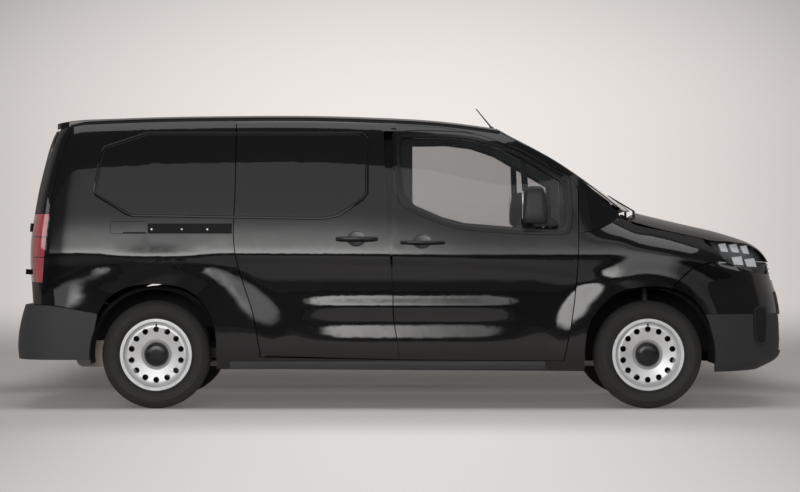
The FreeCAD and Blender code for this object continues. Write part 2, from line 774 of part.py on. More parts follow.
def make_front_bumper():
    """Bumper round the nose, under the lamps and the seams of the wings, with its openings."""
    shell = end_slab(True, nose_line, bumper_low_z, 900, 0.0, bumper_wall, front_round_x)
    seam = scaled(wing_bumper_seam_shares, half_length, height)
    lamp = scaled(headlamp_shares, half_length, height)
    edge = [(seam[0][0] - overrun, seam[0][1] - overrun)] + seam + [lamp[8], lamp[7], lamp[6]]
    edge = moved(edge[:-4], 0, -half_gap) + moved(edge[-4:], 0, -fit_gap)
    edge.append((half_length + overrun, lamp[6][1] - fit_gap))
    frame = edge + [(half_length + overrun, 0), (edge[0][0], 0)]
    shell = shell.common(side_prism(closed(frame), -half_width - overrun, half_width + overrun))
    arch = side_prism([front_arch, [front_arch[-1], front_arch[0]]], -half_width - overrun, half_width + overrun)
    inner = both_houses(front_axle_x, front_house_radius, front_house_inner_y)
    nose = half_length + overrun
    upper = box(front_round_x, nose, -grille_half_width, grille_half_width, grille_low_z, height)
    lower = box(front_round_x, nose, -intake_half_width, intake_half_width, intake_low_z, intake_high_z)
    cover = Part.makeCylinder(
        tow_cover_radius, nose - beam_face_x, Vector(beam_face_x, tow_eye_y, tow_eye_z), Vector(1, 0, 0)
    )
    shell = biggest(shell.cut([arch, inner, upper, lower, cover]))
    return shell.fuse([
        box(beam_face_x + fit_gap, beam_face_x + bumper_bracket_reach, y - bumper_bracket_half,
            y + bumper_bracket_half, bumper_bracket_low_z, bumper_bracket_high_z)
        for y in (-bumper_bracket_y, bumper_bracket_y)
    ])


def make_grille():
    """Upper grille between the headlamps."""
    panel = end_slab(True, nose_line, grille_low_z + fit_gap, grille_high_z, -14, 44, front_round_x)
    side = grille_half_width - fit_gap
    return panel.common(box(front_round_x, half_length, -side, side, 0, height))


def make_intake():
    """Lower air intake with its bars, in the bumper's opening."""
    panel = end_slab(
        True, nose_line, intake_low_z + fit_gap, intake_high_z - fit_gap, -14, 44, front_round_x
    )
    side = intake_half_width - fit_gap
    return panel.common(box(front_round_x, half_length, -side, side, 0, height))


def make_headlamp():
    """Headlamp, wrapped round the corner of the nose."""
    lamp = end_slab(True, nose_line, 790, 1030, 0.0, lamp_depth, front_round_x)
    outline = scaled(headlamp_shares, half_length, height)
    return biggest(lamp.common(side_prism(closed(outline), -half_width, -grille_half_width)))


def make_bonnet():
    """Bonnet between the wings, from the screen to the nose."""
    lid = top_slab(bonnet_line, 1360, 2306, 800, bonnet_wall)
    seam = moved(scaled(bonnet_seam_shares, half_length, height), 0, half_gap)
    lamp = moved(scaled(headlamp_shares, half_length, height), 0, half_gap)
    lamp = moved(lamp, half_gap, 0)
    edge = [(1360, seam[0][1] + 14)] + seam[1:-1] + lamp[:4] + [(2250, grille_high_z + half_gap)]
    edge += [(half_length, grille_high_z + half_gap), (half_length, 1400), (1360, 1400)]
    lid = lid.common(side_prism(closed(edge), -half_width, half_width))
    rear = [(1383, -760), (1452, -500), (1482, 0), (1452, 500), (1383, 760)]
    runs = [rear, [rear[-1], (half_length, 760)], [(half_length, 760), (half_length, -760)], [(half_length, -760), rear[0]]]
    lid = biggest(lid.common(prism(runs, lambda x, y: Vector(x, y, 0), Vector(0, 0, height))))
    return lid.fuse([bonnet_arm(-1), bonnet_arm(1)])


def bonnet_arm(side):
    """Hinge arm under a rear corner of the bonnet, with the bore for its pin."""
    x, z, r = bonnet_hinge_x, bonnet_hinge_z, bonnet_hinge_radius
    tip = x + 9 * r
    foot = z - 4 * r
    points = [(x, z - r), (x, z + r), (x + 4 * r, z - 1.5 * r), (tip, z - 3 * r), (tip, foot), (x + 5 * r, foot)]
    low, high = sorted((side * bonnet_hinge_y, side * (bonnet_hinge_y - bonnet_hinge_width)))
    arm = side_prism(closed(points), low, high).fuse(cylinder_y(x, z, r, low, high))
    return arm.cut(cylinder_y(x, z, bonnet_hinge_pin_radius + fit_gap, low, high))


def bonnet_pin(side):
    """Bracket and pin on the cowl for a bonnet hinge."""
    x, z, r = bonnet_hinge_x, bonnet_hinge_z, bonnet_hinge_radius
    inner = bonnet_hinge_y - bonnet_hinge_width
    low, high = sorted((side * inner, side * bonnet_hinge_y))
    pin = cylinder_y(x, z, bonnet_hinge_pin_radius, low, high)
    low, high = sorted((side * (inner - fit_gap), side * (inner - bonnet_hinge_width)))
    plate = box(x - r, x + r, low, high, z - 6 * r, z + r)
    low, high = sorted((side * (inner - bonnet_hinge_width), side * bonnet_hinge_y))
    return plate.fuse([pin, cylinder_y(x, z, bonnet_hinge_pin_radius, low, high)])


def make_windscreen():
    """Windscreen pane between the pillars, from the roof to the cowl."""
    pane = top_slab(screen_line, 560, 1500, 800, glass_thickness)
    outline = [(587, -612), (587, 612), (1335, 738), (1398, 500), (1428, 0), (1398, -500), (1335, -738)]
    runs = [[outline[0], outline[1]], [outline[1], outline[2]], outline[2:], [outline[-1], outline[0]]]
    return pane.common(prism(runs, lambda x, y: Vector(x, y, 0), Vector(0, 0, height)))


def make_roof():
    """Roof panel, from the screen to the rear doors."""
    panel = top_slab(roof_line, -2170, 600, 700, roof_wall)
    side = roof_edge_y - fit_gap
    tail = [(-2040, side), (-2100, side - 45), (-2128, 420), (-2141, 0), (-2128, -420), (-2100, 45 - side), (-2040, -side)]
    runs = [[(583, -side), (583, side)], [(583, side), tail[0]], tail, [tail[-1], (583, -side)]]
    panel = panel.common(prism(runs, lambda x, y: Vector(x, y, 0), Vector(0, 0, height + overrun)))
    return biggest(panel.cut([
        Part.makeCylinder(roof_bar_hole_radius, height, Vector(x, side * roof_bar_half_span, load_floor_z))
        for x in roof_bar_places
        for side in (-1, 1)
    ]))


def tail_point(y, z, inset):
    """A point of the rear doors' outside, moved forwards by inset."""
    half = section_width(rear_round_x, z)
    drop = (1 - min(abs(y) / half, 1.0) ** rear_round_power) ** (1 / rear_round_power)
    return Vector(rear_round_x + (tail_line(z) - rear_round_x) * drop + inset, y, z)


def tail_slab(y_low, y_high, z_low, z_high, inset, depth):
    """A wall across the tail, from inset to depth inside its outside."""
    heights = spread(z_low, z_high, 26)
    places = spread(y_low, y_high, 22)
    outer = [[tail_point(y, z, inset) for y in places] for z in heights]
    inner = [[tail_point(y, z, depth) for y in places] for z in heights]
    return slab(outer, inner)


def rear_doors_outline(grown):
    """The outline of both rear doors from behind, grown all round, as a solid through the tail."""
    side = rear_door_half_width + grown
    right = [(-side, 1540), (12 - side, 1620), (45 - side, 1690), (80 - side, 1760)]
    left = [(-y, z) for y, z in right[::-1]]
    foot = rear_door_low_z - grown
    runs = [right, [right[-1], left[0]], left, [left[-1], (side, foot)], [(side, foot), (-side, foot)]]
    runs.append([(-side, foot), right[0]])
    return prism(runs, lambda y, z: Vector(-half_length, y, z), Vector(half_length, 0, 0))


def leaned(shape, side, z=rear_hinge_z):
    """Puts a shape drawn about the Z axis on a rear door's hinge axis, with its foot at height z."""
    shape = shape.copy()
    shape.rotate(Vector(0, 0, 0), Vector(0, 1, 0), math.degrees(math.atan(rear_hinge_lean)))
    shape.translate(Vector(rear_hinge_x + (z - rear_hinge_z) * rear_hinge_lean, side * rear_hinge_y, z))
    return shape


def hinge_bar(radius, low, high):
    """A round bar along a hinge."""
    return Part.makeCylinder(radius, high - low, Vector(0, 0, low))


def hinge_arm(side, inner, outer, reach, low, high):
    """A flat arm of a hinge pointing forwards, from inner to outer, measured outwards from the axis."""
    inner, outer = sorted((side * inner, side * outer))
    return box(0, reach, inner, outer, low, high)


def hinge_lugs(side):
    """Lugs and pins of one rear door's hinges, fixed to the frame."""
    lug = hinge_bar(rear_hinge_radius, 0, rear_hinge_lug)
    pin = hinge_bar(rear_hinge_pin_radius, 0, rear_hinge_height)
    arm = hinge_arm(side, 0, rear_hinge_radius, rear_hinge_reach, 0, rear_hinge_lug)
    piece = lug.fuse([pin, arm])
    return [leaned(piece, side, z) for z in rear_hinge_places]


def hinge_barrels(side):
    """Barrels of one rear door's hinges, which turn on the pins."""
    low = rear_hinge_lug + fit_gap
    barrel = hinge_bar(rear_hinge_radius, low, rear_hinge_height)
    arm = hinge_arm(side, -rear_hinge_radius - seam_gap, 0, wall, low, rear_hinge_height)
    piece = barrel.fuse(arm).cut(hinge_bar(rear_hinge_pin_radius + fit_gap, low, rear_hinge_height))
    return [leaned(piece, side, z) for z in rear_hinge_places]


def hinge_room(side):
    """Room round one rear door's hinges."""
    reach = rear_hinge_radius + seam_gap
    high = rear_hinge_height + seam_gap
    room = hinge_bar(reach, -seam_gap, high)
    room = room.fuse(hinge_arm(side, -seam_gap, seam_gap, wall + seam_gap, -seam_gap, high))
    return [leaned(room, side, z) for z in rear_hinge_places]


def lug_room(side):
    """Room in a tail lamp for the arms of the hinge lugs beside it."""
    room = hinge_arm(side, -seam_gap, rear_hinge_radius + fit_gap, rear_hinge_reach, -fit_gap, rear_hinge_lug + fit_gap)
    return [leaned(room, side, z) for z in rear_hinge_places]


def over_the_doors():
    """The space over the rear doors that they swing clear of, falling forwards with their hinge axis."""
    places = spread(-roof_edge_y - overrun, roof_edge_y + overrun, 13)
    tail = roof_tail_x
    under = [(y, top_height(roof_line, tail, y) - roof_wall - seam_gap) for y in places]
    top = height + overrun
    corners = [(places[-1], top), (places[0], top)]
    runs = [under, [under[-1], corners[0]], corners, [corners[1], under[0]]]
    back = -half_length
    lift = (tail - back) * rear_hinge_lean
    reach = half_length + rear_round_x
    return prism(runs, lambda y, z: Vector(back, y, z + lift), Vector(reach, 0, -reach * rear_hinge_lean))


def make_rear_door(side, y_low, y_high):
    """One of the two rear doors, with its hinge barrels and a free edge that swings clear of the other door."""
    door = tail_slab(y_low, y_high, rear_door_low_z, rear_door_high_z, 0.0, wall)
    free_edge = y_high if side < 0 else -y_low
    swing = rear_hinge_y + free_edge + rear_edge_relief
    turning = leaned(Part.makeCylinder(swing, height, Vector(0, 0, -height / 2)), side)
    door = biggest(door.common(rear_doors_outline(0.0)).cut([over_the_doors()] + hinge_room(side)))
    door = biggest(door.common(turning))
    return biggest(door.fuse(hinge_barrels(side)))


def make_rear_frame():
    """Frame round the rear doors, with the corner posts above and below the tail lamps."""
    inset = wall + seam_gap
    aperture = rear_aperture_half_width
    ring = tail_slab(-690, 690, 420, 1660, inset, inset + frame_wall)
    behind = [(-690, 420), (-690, 1440), (-600, 1660), (600, 1660), (690, 1440), (690, 420)]
    ring = ring.common(prism(closed(behind), lambda y, z: Vector(-half_length, y, z), Vector(half_length, 0, 0)))
    sill = load_floor_z - load_floor_thickness - fit_gap
    opening = box(-half_length, 0, -aperture, aperture, sill, 1590)
    ring = ring.cut(opening)
    corner = end_slab(False, tail_line, 560, 1740, 0.0, wall, rear_round_x)
    seam = moved(scaled(quarter_rear_shares, half_length, height), -half_gap)
    lamp = moved(scaled(tail_lamp_front_shares, half_length, height), -half_gap)
    bumper = scaled(rear_bumper_top_shares, half_length, height)
    keep = seam + [(lamp[-1][0], lamp[-1][1]), (lamp[-1][0], bumper[1][1] + half_gap)]
    keep += [(-half_length, bumper[0][1] + half_gap), (-half_length, seam[0][1])]
    corner = corner.common(side_prism(closed(keep), -half_width, half_width))
    lamps = box(-half_length, 0, -half_width, half_width, lamp[-1][1] - half_gap, lamp[0][1] + half_gap)
    corner = corner.cut([rear_doors_outline(seam_gap), lamps])
    right = tail_slab(-690, -rear_door_half_width - seam_gap, 600, 1420, tail_lamp_depth + 16, inset + 20)
    rooms = hinge_room(-1) + hinge_room(1)
    corner = corner.cut(placed(make_roof(), 0, 0, -fit_gap)).cut(rooms)
    strips = right.fuse(mirrored(right)).cut(rooms)
    frame = ring.fuse([corner, strips])
    brackets = [
        box(rear_bracket_x, floor_rear_x, y - bumper_bracket_half, y + bumper_bracket_half,
            rear_bracket_low_z, rear_bracket_high_z)
        for y in (-rear_bracket_y, rear_bracket_y)
    ]
    return biggest(frame.fuse(hinge_lugs(-1) + hinge_lugs(1) + brackets))


def make_tail_lamp():
    """Tail lamp on the corner below the window line."""
    lamp = end_slab(False, tail_line, 762, 1177, 0.0, tail_lamp_depth, rear_round_x)
    front = moved(scaled(tail_lamp_front_shares, half_length, height), -fit_gap)
    keep = front + [(-half_length, front[-1][1]), (-half_length, front[0][1])]
    side = rear_door_half_width + seam_gap
    lamp = biggest(lamp.common(side_prism(closed(keep), -half_width, -side)))
    return biggest(lamp.cut(hinge_room(-1) + lug_room(-1)))


def make_rear_bumper():
    """Rear bumper, from arch to arch."""
    shell = end_slab(
        False, bumper_tail_line, rear_bumper_low_z, 660, rear_bumper_outset, bumper_wall, -1600
    )
    top = scaled(rear_bumper_top_shares, half_length, height)
    keep = top + [(top[-1][0], 0), (top[0][0], 0)]
    shell = shell.common(side_prism(closed(keep), -half_width - overrun, half_width + overrun))
    arch = side_prism([rear_arch, [rear_arch[-1], rear_arch[0]]], -half_width - overrun, half_width + overrun)
    shell = biggest(shell.cut([arch, both_houses(rear_axle_x, rear_house_radius, rear_house_inner_y)]))
    return shell.fuse([
        box(rear_bracket_x - bumper_bracket_reach - rear_bumper_outset, rear_bracket_x - fit_gap,
            y - bumper_bracket_half, y + bumper_bracket_half, rear_bracket_low_z, rear_bracket_high_z)
        for y in (-rear_bracket_y, rear_bracket_y)
    ])


def make_side_frame():
    """Sill, pillars and roof rail of one side: the frame that the doors close on."""
    slab_piece = side_slab(-1100, 1110, 215, 1790, 0.0, wall + frame_wall)
    seam = rear_seam(fit_gap - half_gap)
    roof = [(x, roof_edge_height(x)) for x in spread(seam[0][0], screen_top_x, 9)]
    pillar = [(x, top_height(screen_line, x, plain_width(x, screen_line(x) - 60))) for x in spread(600, 1090, 6)]
    sill = scaled(sill_bottom_shares, half_length, height)
    arch_foot = (1096, 300)
    ring = [roof, [roof[-1], pillar[0]], pillar, [pillar[-1], (1096, 1130)]]
    ring += [[(1096, 1130), arch_foot], [arch_foot, sill[1]], [sill[1], (seam[-1][0], sill[0][1])]]
    ring += [[(seam[-1][0], sill[0][1]), seam[-1]], seam[::-1]]
    frame = slab_piece.common(side_prism(ring))
    pocket = side_slab(-1130, 1130, 200, 1780, overrun, wall + seam_gap)
    slide_top = [(x, roof_edge_height(x, door_drop - seam_gap)) for x in spread(-1140, b_seam[2][0] - 40, 6)]
    door_top = moved(door_top_seam[1:-1])
    front = [(door_front_seam[0][0] + half_gap, door_front_seam[0][1])] + moved(door_front_seam[1:-1], half_gap)
    front.append((door_front_seam[-1][0] + half_gap, door_front_seam[-1][1] - half_gap))
    rear_foot = (-1140, door_bottom[0][1] - seam_gap)
    mid_foot = (-40, door_bottom[2][1] - seam_gap)
    outline = [
        slide_top,
        [slide_top[-1], (b_seam[0][0] + 20, door_top_seam[0][1])],
        [(b_seam[0][0] + 20, door_top_seam[0][1])] + door_top,
        [door_top[-1], front[0]],
        front,
        [front[-1], mid_foot],
        [mid_foot, rear_foot],
        [rear_foot, slide_top[0]],
    ]
    pocket = pocket.common(side_prism(outline))
    edge = moved([p for p in door_front_seam if p[1] < 1100], half_gap - fit_gap, -fit_gap)
    ahead = [(edge[-1][0] + 2 * overrun + front_axle_x - door_front_x, edge[-1][1])]
    ahead.append((ahead[0][0], edge[0][1]))
    wing = wing_layer(overrun, wing_wall + 2 * fit_gap)
    wing = wing.common(side_prism([edge, [edge[-1], ahead[0]], ahead, [ahead[1], edge[0]]]))
    cab = side_prism(closed([(60, 420), (60, 1660), (270, 1655), (450, 1620), (600, 1570), (950, 1370), (950, 420)]))
    load = side_prism(closed([(-830, 420), (-940, 800), (-940, 1660), (-150, 1660), (-150, 420)]))
    for room in (pocket, wing, cab, load, roof_room(fit_gap)):
        frame = biggest(frame.cut(room))
    strap = biggest(check_strap(0.0, check_strap_end).cut(wing))
    return biggest(frame.fuse([strap, pillar_foot()]))


def pillar_foot():
    """Small panel of the side frame between the front door, the foot of the screen and the wing."""
    low_line = Curve(moved(scaled(wing_rear_shares, half_length, height), 0.0, half_gap))
    outer = []
    inner = []
    for share in spread(0.0, 1.0, 5):
        outer.append([])
        inner.append([])
        for x in spread(door_front_x + half_gap, pillar_foot_x, 7):
            ahead = (x - door_front_x) / (pillar_foot_x - door_front_x)
            z_low = low_line(x)
            y_high = plain_width(x, screen_line(x) - pillar_foot_drop)
            z_high = top_height(screen_line, x, y_high) - seam_gap
            y_high += ahead * (pillar_foot_y - y_high)
            y_low = side_width(x, z_low)
            y_in = y_low - pillar_foot_wall
            y_in += share * (y_high - pillar_foot_width + ahead * (pillar_foot_width - seam_gap) - y_in)
            z = z_low + share * (z_high - z_low)
            outer[-1].append(Vector(x, share * (y_low - y_high) - y_low, z))
            inner[-1].append(Vector(x, -y_in, z))
    return slab(outer, inner)


def make_floor():
    """Load floor with its wheel boxes, cab floor and firewall."""
    load = box(floor_rear_x, bulkhead_x, -780, 780, load_floor_z - load_floor_thickness, load_floor_z)
    side = rear_aperture_half_width - fit_gap
    tail = box(floor_tail_x, floor_rear_x, -side, side, load_floor_z - load_floor_thickness, load_floor_z)
    riser = box(bulkhead_x - 30, bulkhead_x, -780, 780, cab_floor_z - cab_floor_thickness, load_floor_z)
    cab = box(bulkhead_x - 30, firewall_x, -780, 780, cab_floor_z - cab_floor_thickness, cab_floor_z)
    wall_plate = box(
        firewall_x - firewall_thickness, firewall_x, -780, 780, cab_floor_z - cab_floor_thickness, firewall_top_z
    )
    shell = load.fuse([tail, riser, cab, wall_plate])
    cover = cylinder_y(rear_axle_x, wheel_height, rear_house_radius + house_wall, -800, house_wall - rear_house_inner_y)
    cover = cover.common(box(-half_length, 0, -half_width, 0, load_floor_z - load_floor_thickness, height))
    shell = shell.fuse([cover, mirrored(cover)])
    shell = shell.cut(both_houses(rear_axle_x, rear_house_radius, rear_house_inner_y))
    return shell.cut([
        Part.makeCylinder(lashing_hole_radius, load_floor_z, Vector(
            lashing_middle_x + ahead * lashing_span_x / 2, side * lashing_span_y / 2, cab_floor_z
        ))
        for ahead in (-1, 1)
        for side in (-1, 1)
    ])


def make_front_frame():
    """Front rails, cross member, inner wheel arches and strut towers."""
    pieces = []
    for side in (-1, 1):
        low, high = sorted((side * 395, side * 455))
        pieces.append(box(firewall_x, beam_face_x, low, high, 430, 550))
        tube = cylinder_y(front_axle_x, wheel_height, front_house_radius + house_wall, min(side * 452, side * 780), max(side * 452, side * 780))
        pieces.append(tube.common(box(firewall_x, half_length, -half_width, half_width, 330, height)))
        low, high = sorted((side * 545, side * 655))
        pieces.append(box(front_axle_x - 70, front_axle_x + 70, low, high, 700, king_pin_top_z + 20))
        low, high = sorted((side * 455, side * 560))
        pieces.append(box(front_axle_x - 70, front_axle_x + 70, low, high, 700, king_pin_top_z + 20))
    pieces.append(box(beam_face_x - tow_eye_depth, beam_face_x, -480, 480, 520, 640))
    frame = pieces[0].fuse(pieces[1:])
    hollow = both_houses(front_axle_x, front_house_radius, front_house_inner_y)
    frame = frame.cut(hollow)
    frame = frame.cut(Part.makeCylinder(
        tow_eye_radius, tow_eye_depth, Vector(beam_face_x - tow_eye_depth, tow_eye_y, tow_eye_z), Vector(1, 0, 0)
    ))
    for side in (-1, 1):
        room = Part.makeCylinder(50, king_pin_top_z - 640, Vector(front_axle_x, side * king_pin_top_y, 640))
        frame = frame.cut(room)
    return biggest(frame)


def make_bulkhead():
    """Steel partition between cab and load space."""
    half = [(0, 345), (745, 345), (770, 560), (772, 900), (725, 1300), (665, 1500), (595, 1640), (540, 1700), (0, 1735)]
    points = half[1:-1] + [(-y, z) for y, z in half[1:-1]][::-1]
    wire = prism(closed(points), lambda y, z: Vector(bulkhead_x, y, z), Vector(bulkhead_thickness, 0, 0))
    return wire


def make_dashboard():
    """Dashboard across the cab."""
    face = firewall_x - firewall_thickness - fit_gap
    points = [(640, 930), (665, 1050), (790, 1090), (face, 1080), (face, 640), (800, 620)]
    return side_prism(closed(points), -700, 700)


def make_cowl():
    """Cowl between the firewall and the foot of the screen."""
    points = [(firewall_x, 1060), (1380, 1075), (1474, 1120), (1472, 1158), (1410, 1158), (1300, 1110), (firewall_x, 1088)]
    cowl = side_prism(closed(points), -700, 700)
    rear = [(1377, -760), (1446, -500), (1474, 0), (1446, 500), (1377, 760)]
    runs = [rear, [rear[-1], (0, 760)], [(0, 760), (0, -760)], [(0, -760), rear[0]]]
    cowl = biggest(cowl.common(prism(runs, lambda x, y: Vector(x, y, 0), Vector(0, 0, height))))
    rooms = []
    for side in (-1, 1):
        low, high = sorted((side * (bonnet_hinge_y + seam_gap), side * (bonnet_hinge_y - bonnet_hinge_width)))
        rooms.append(box(bonnet_hinge_x - 2 * bonnet_hinge_radius, half_length, low, high,
                         bonnet_hinge_z - 5 * bonnet_hinge_radius, height))
    return biggest(cowl.cut(rooms).fuse([bonnet_pin(-1), bonnet_pin(1)]))


def make_engine():
    """Engine and gearbox as one plain block."""
    return box(1440, 1960, -330, 330, 330 + fit_gap, 940)


def make_seats():
    """Driver's and passenger's seats on their boxes."""
    seats = []
    for side in (-1, 1):
        low, high = sorted((side * 130, side * 620))
        base = box(170, 640, low + 40, high - 40, cab_floor_z, 560)
        cushion = box(130, 650, low, high, 560, 700)
        back = prism(closed([(60, 660), (190, 660), (110, 1115), (10, 1115)]), lambda x, z: Vector(x, low, z), Vector(0, high - low, 0))
        seats.append(base.fuse([cushion, back]))
    return Part.makeCompound(seats)


def make_steering_wheel():
    """Steering wheel and column on the left side."""
    centre = Vector(520, 370, 930)
    lean = Vector(-math.cos(math.radians(28)), 0, math.sin(math.radians(28)))
    ring = Part.makeTorus(180, 13, centre, lean)
    hub = Part.makeCylinder(60, 40, centre - lean * 20, lean)
    spokes = [Part.makeCylinder(12, 175, centre, d) for d in (Vector(0, 1, 0), Vector(0, -1, 0), lean.cross(Vector(0, 1, 0)))]
    column = Part.makeCylinder(26, 200, centre - lean * 210, lean)
    return biggest(ring.fuse([hub, column] + spokes).cut(make_dashboard()))


def turned(profile, middle):
    """A ring about the wheel's axis through the origin, from a profile of radius and place across."""
    points = [Vector(0, middle + across, radius) for radius, across in profile]
    face = Part.Face(Part.makePolygon(points + points[:1]))
    return face.revolve(Vector(0, 0, 0), Vector(0, 1, 0), 360)


def make_tyre(middle):
    """Tyre of a right-hand wheel."""
    half = tyre_width / 2
    tread = half - 20
    seat = rim_width / 2 - rim_wall - fit_gap
    profile = [
        (bead_radius, -seat), (rim_flange_radius + 8, -seat), (tyre_radius - 62, -half),
        (tyre_radius - 22, -half + 7), (tyre_radius - 5, -tread), (tyre_radius, -tread + 30),
        (tyre_radius, tread - 30), (tyre_radius - 5, tread), (tyre_radius - 22, half - 7),
        (tyre_radius - 62, half), (rim_flange_radius + 8, seat), (bead_radius, seat),
    ]
    return turned(profile, middle)


def make_rim(middle):
    """Steel rim of a right-hand wheel: barrel, flanges, disc with its round holes, and centre cap."""
    half = rim_width / 2
    well = bead_radius - rim_wall - fit_gap
    barrel = [
        (rim_flange_radius, -half), (rim_flange_radius, rim_wall - half), (bead_radius - fit_gap, rim_wall - half),
        (bead_radius - fit_gap, half - rim_wall), (rim_flange_radius, half - rim_wall), (rim_flange_radius, half),
        (well, half), (well, -half),
    ]
    face = -disc_outset
    back = face + disc_thickness
    disc = [
        (well + 1, face - 14), (disc_dish_radius, face - 26), (disc_dish_radius - 12, face - 27),
        (cap_radius + 20, face - 12), (cap_radius, face), (hub_bore_radius, face),
        (hub_bore_radius, back), (cap_radius, back), (cap_radius + 20, back - 12),
        (disc_dish_radius - 12, back - 27), (disc_dish_radius, back - 26), (well + 1, back - 14),
    ]
    rim = turned(barrel, middle).fuse(turned(disc, middle))
    holes = []
    for i in range(rim_hole_count):
        turn = 2 * math.pi * i / rim_hole_count
        x = rim_hole_circle_radius * math.sin(turn)
        z = rim_hole_circle_radius * math.cos(turn)
        holes.append(cylinder_y(x, z, rim_hole_radius, middle - half, middle))
    for i in range(bolt_count):
        turn = 2 * math.pi * i / bolt_count
        x = bolt_circle_radius * math.sin(turn)
        z = bolt_circle_radius * math.cos(turn)
        holes.append(cylinder_y(x, z, bolt_hole_radius, middle - half, middle))
    rim = rim.cut(holes)
    cap = [
        (cap_radius - 1, face), (cap_radius - 6, face - cap_height + 6), (cap_radius - 14, face - cap_height),
        (0, face - cap_height), (0, face - cap_height + cap_wall), (cap_radius - 16, face - cap_height + cap_wall),
        (cap_radius - 10, face),
    ]
    return rim.fuse(turned(cap, middle))


def placed(shape, x, y, z):
    """A copy of the shape moved to a place."""
    copy = shape.copy()
    copy.translate(Vector(x, y, z))
    return copy


king_pin_axis = Vector(0, king_pin_top_y - king_pin_foot_y, king_pin_top_z - king_pin_foot_z)
king_pin_axis.normalize()


def make_knuckle():
    """Right front knuckle with its hub, brake and strut, turning about the king pin axis."""
    axis = Vector(0, -king_pin_axis.y, king_pin_axis.z)
    foot = Vector(front_axle_x, -king_pin_foot_y, king_pin_foot_z)
    hub_face = front_track / 2 + disc_outset - disc_thickness
    stub = cylinder_y(front_axle_x, wheel_height, hub_bore_radius - fit_gap, -hub_face - disc_thickness, -690)
    drum = cylinder_y(front_axle_x, wheel_height, 128, -hub_face + 5, -hub_face + 30)
    post = box(front_axle_x - 32, front_axle_x + 32, -745, -690, 222, 470)
    arm = box(front_axle_x - 24, front_axle_x + 24, -700, -625, 400, 470)
    strut_foot = Vector(front_axle_x, -642, 420)
    strut_top = Vector(front_axle_x, -king_pin_top_y, king_pin_top_z - fit_gap)
    strut = Part.makeCylinder(22, (strut_top - strut_foot).Length, strut_foot, strut_top - strut_foot)
    body = post.fuse([stub, drum, arm, strut])
    body = body.common(box(0, half_length, -half_width, 0, 0, king_pin_top_z - strut_clearance))
    return body.cut(Part.makeCylinder(9 + fit_gap, 120, foot - axis * 40, axis))


def make_subframe():
    """Front subframe with lower arms and their ball pins."""
    plate = box(1310, 1680, -330, 330, 205, 265)
    pieces = [plate]
    for side in (-1, 1):
        foot = Vector(front_axle_x, side * king_pin_foot_y, king_pin_foot_z)
        axis = Vector(0, side * king_pin_axis.y, king_pin_axis.z)
        low, high = sorted((side * 300, side * 757))
        pieces.append(box(front_axle_x - 28, front_axle_x + 28, low, high, 186, 211))
        pieces.append(Part.makeCylinder(9, 44, foot - axis * 2, axis))
        for x in (1330, 1640):
            low, high = sorted((side * 270, side * 330))
            pieces.append(box(x, x + 40, low, high, 260, 300))
        low, high = sorted((side * 270, side * (452 - fit_gap)))
        pieces.append(box(1330, 1370, low, high, 290, 330))
        pieces.append(box(1640, 1680, low, high, 290, 330))
        low, high = sorted((side * 400, side * (452 - fit_gap)))
        pieces.append(box(1330, 1370, low, high, 320, 430 - fit_gap))
        pieces.append(box(1640, 1680, low, high, 320, 430 - fit_gap))
    return pieces[0].fuse(pieces[1:])


def make_rear_axle():
    """Rear axle: cross beam, trailing arms, springs and hubs."""
    hub_face = rear_track / 2 + disc_outset - disc_thickness
    pieces = [cylinder_y(-1330, 330, 36, -560, 560)]
    for side in (-1, 1):
        low, high = sorted((side * 500, side * 560))
        pieces.append(box(rear_axle_x - 60, -1010, low, high, 296, 356))
        low, high = sorted((side * 500, side * 600))
        pieces.append(box(-1060, -1010, low, high, 300, load_floor_z - load_floor_thickness))
        low, high = sorted((side * 540, side * (hub_face - 60)))
        pieces.append(cylinder_y(rear_axle_x, wheel_height, 44, low, high))
        low, high = sorted((side * (hub_face - 65), side * (hub_face - 5)))
        pieces.append(cylinder_y(rear_axle_x, wheel_height, 118, low, high))
        low, high = sorted((side * (hub_face - 20), side * (hub_face + disc_thickness)))
        pieces.append(cylinder_y(rear_axle_x, wheel_height, hub_bore_radius - fit_gap, low, high))
        pieces.append(Part.makeCylinder(52, load_floor_z - load_floor_thickness - 340, Vector(-1400, side * 530, 340)))
    return pieces[0].fuse(pieces[1:])


def make_exhaust():
    """Exhaust pipe and silencer under the floor."""
    pipe = Part.makeCylinder(24, 3000, Vector(-1750, -300, 258), Vector(1, 0, 0))
    silencer = box(-2020, -1740, -460, -160, 234, 400)
    silencer = silencer.makeFillet(50, [e for e in silencer.Edges if abs(e.tangentAt(e.FirstParameter).y) > 0.9])
    hangers = [box(x, x + 20, -320, -280, 380, load_floor_z - load_floor_thickness) for x in (-1980, -1790)]
    return pipe.fuse([silencer] + hangers)


def make_tank():
    """Fuel tank under the floor."""
    tank = box(-960, -330, 130, 660, 262, load_floor_z - load_floor_thickness)
    return tank.makeFillet(40, [e for e in tank.Edges if abs(e.tangentAt(e.FirstParameter).z) > 0.9])


def make_mirror():
    """Door mirror on its foot."""
    shell = box(732, 856, -1053, -912, 1128, 1327)
    shell = shell.makeFillet(34, shell.Edges)
    foot = side_prism(closed([(800, 1200), (940, 1116), (940, 1098), (787, 1098), (770, 1150)]), -960, -800)
    skin = side_slab(700, 1000, 1060, 1240, fit_gap, 120)
    return shell.fuse(foot.cut(skin).cut(box(700, 1000, -800, 0, 1000, 1300)))


def make_antenna():
    """Short antenna at the front of the roof."""
    base = Part.makeCone(20, 12, 18, Vector(566, 0, roof_line(566) - 4))
    start = Vector(566, 0, roof_line(566) + 10)
    rod = Part.makeCone(5, 3, 155, start, Vector(-107, 0, 130))
    return biggest(base.fuse(rod).cut(top_slab(roof_line, 500, 640, 60, roof_wall)))


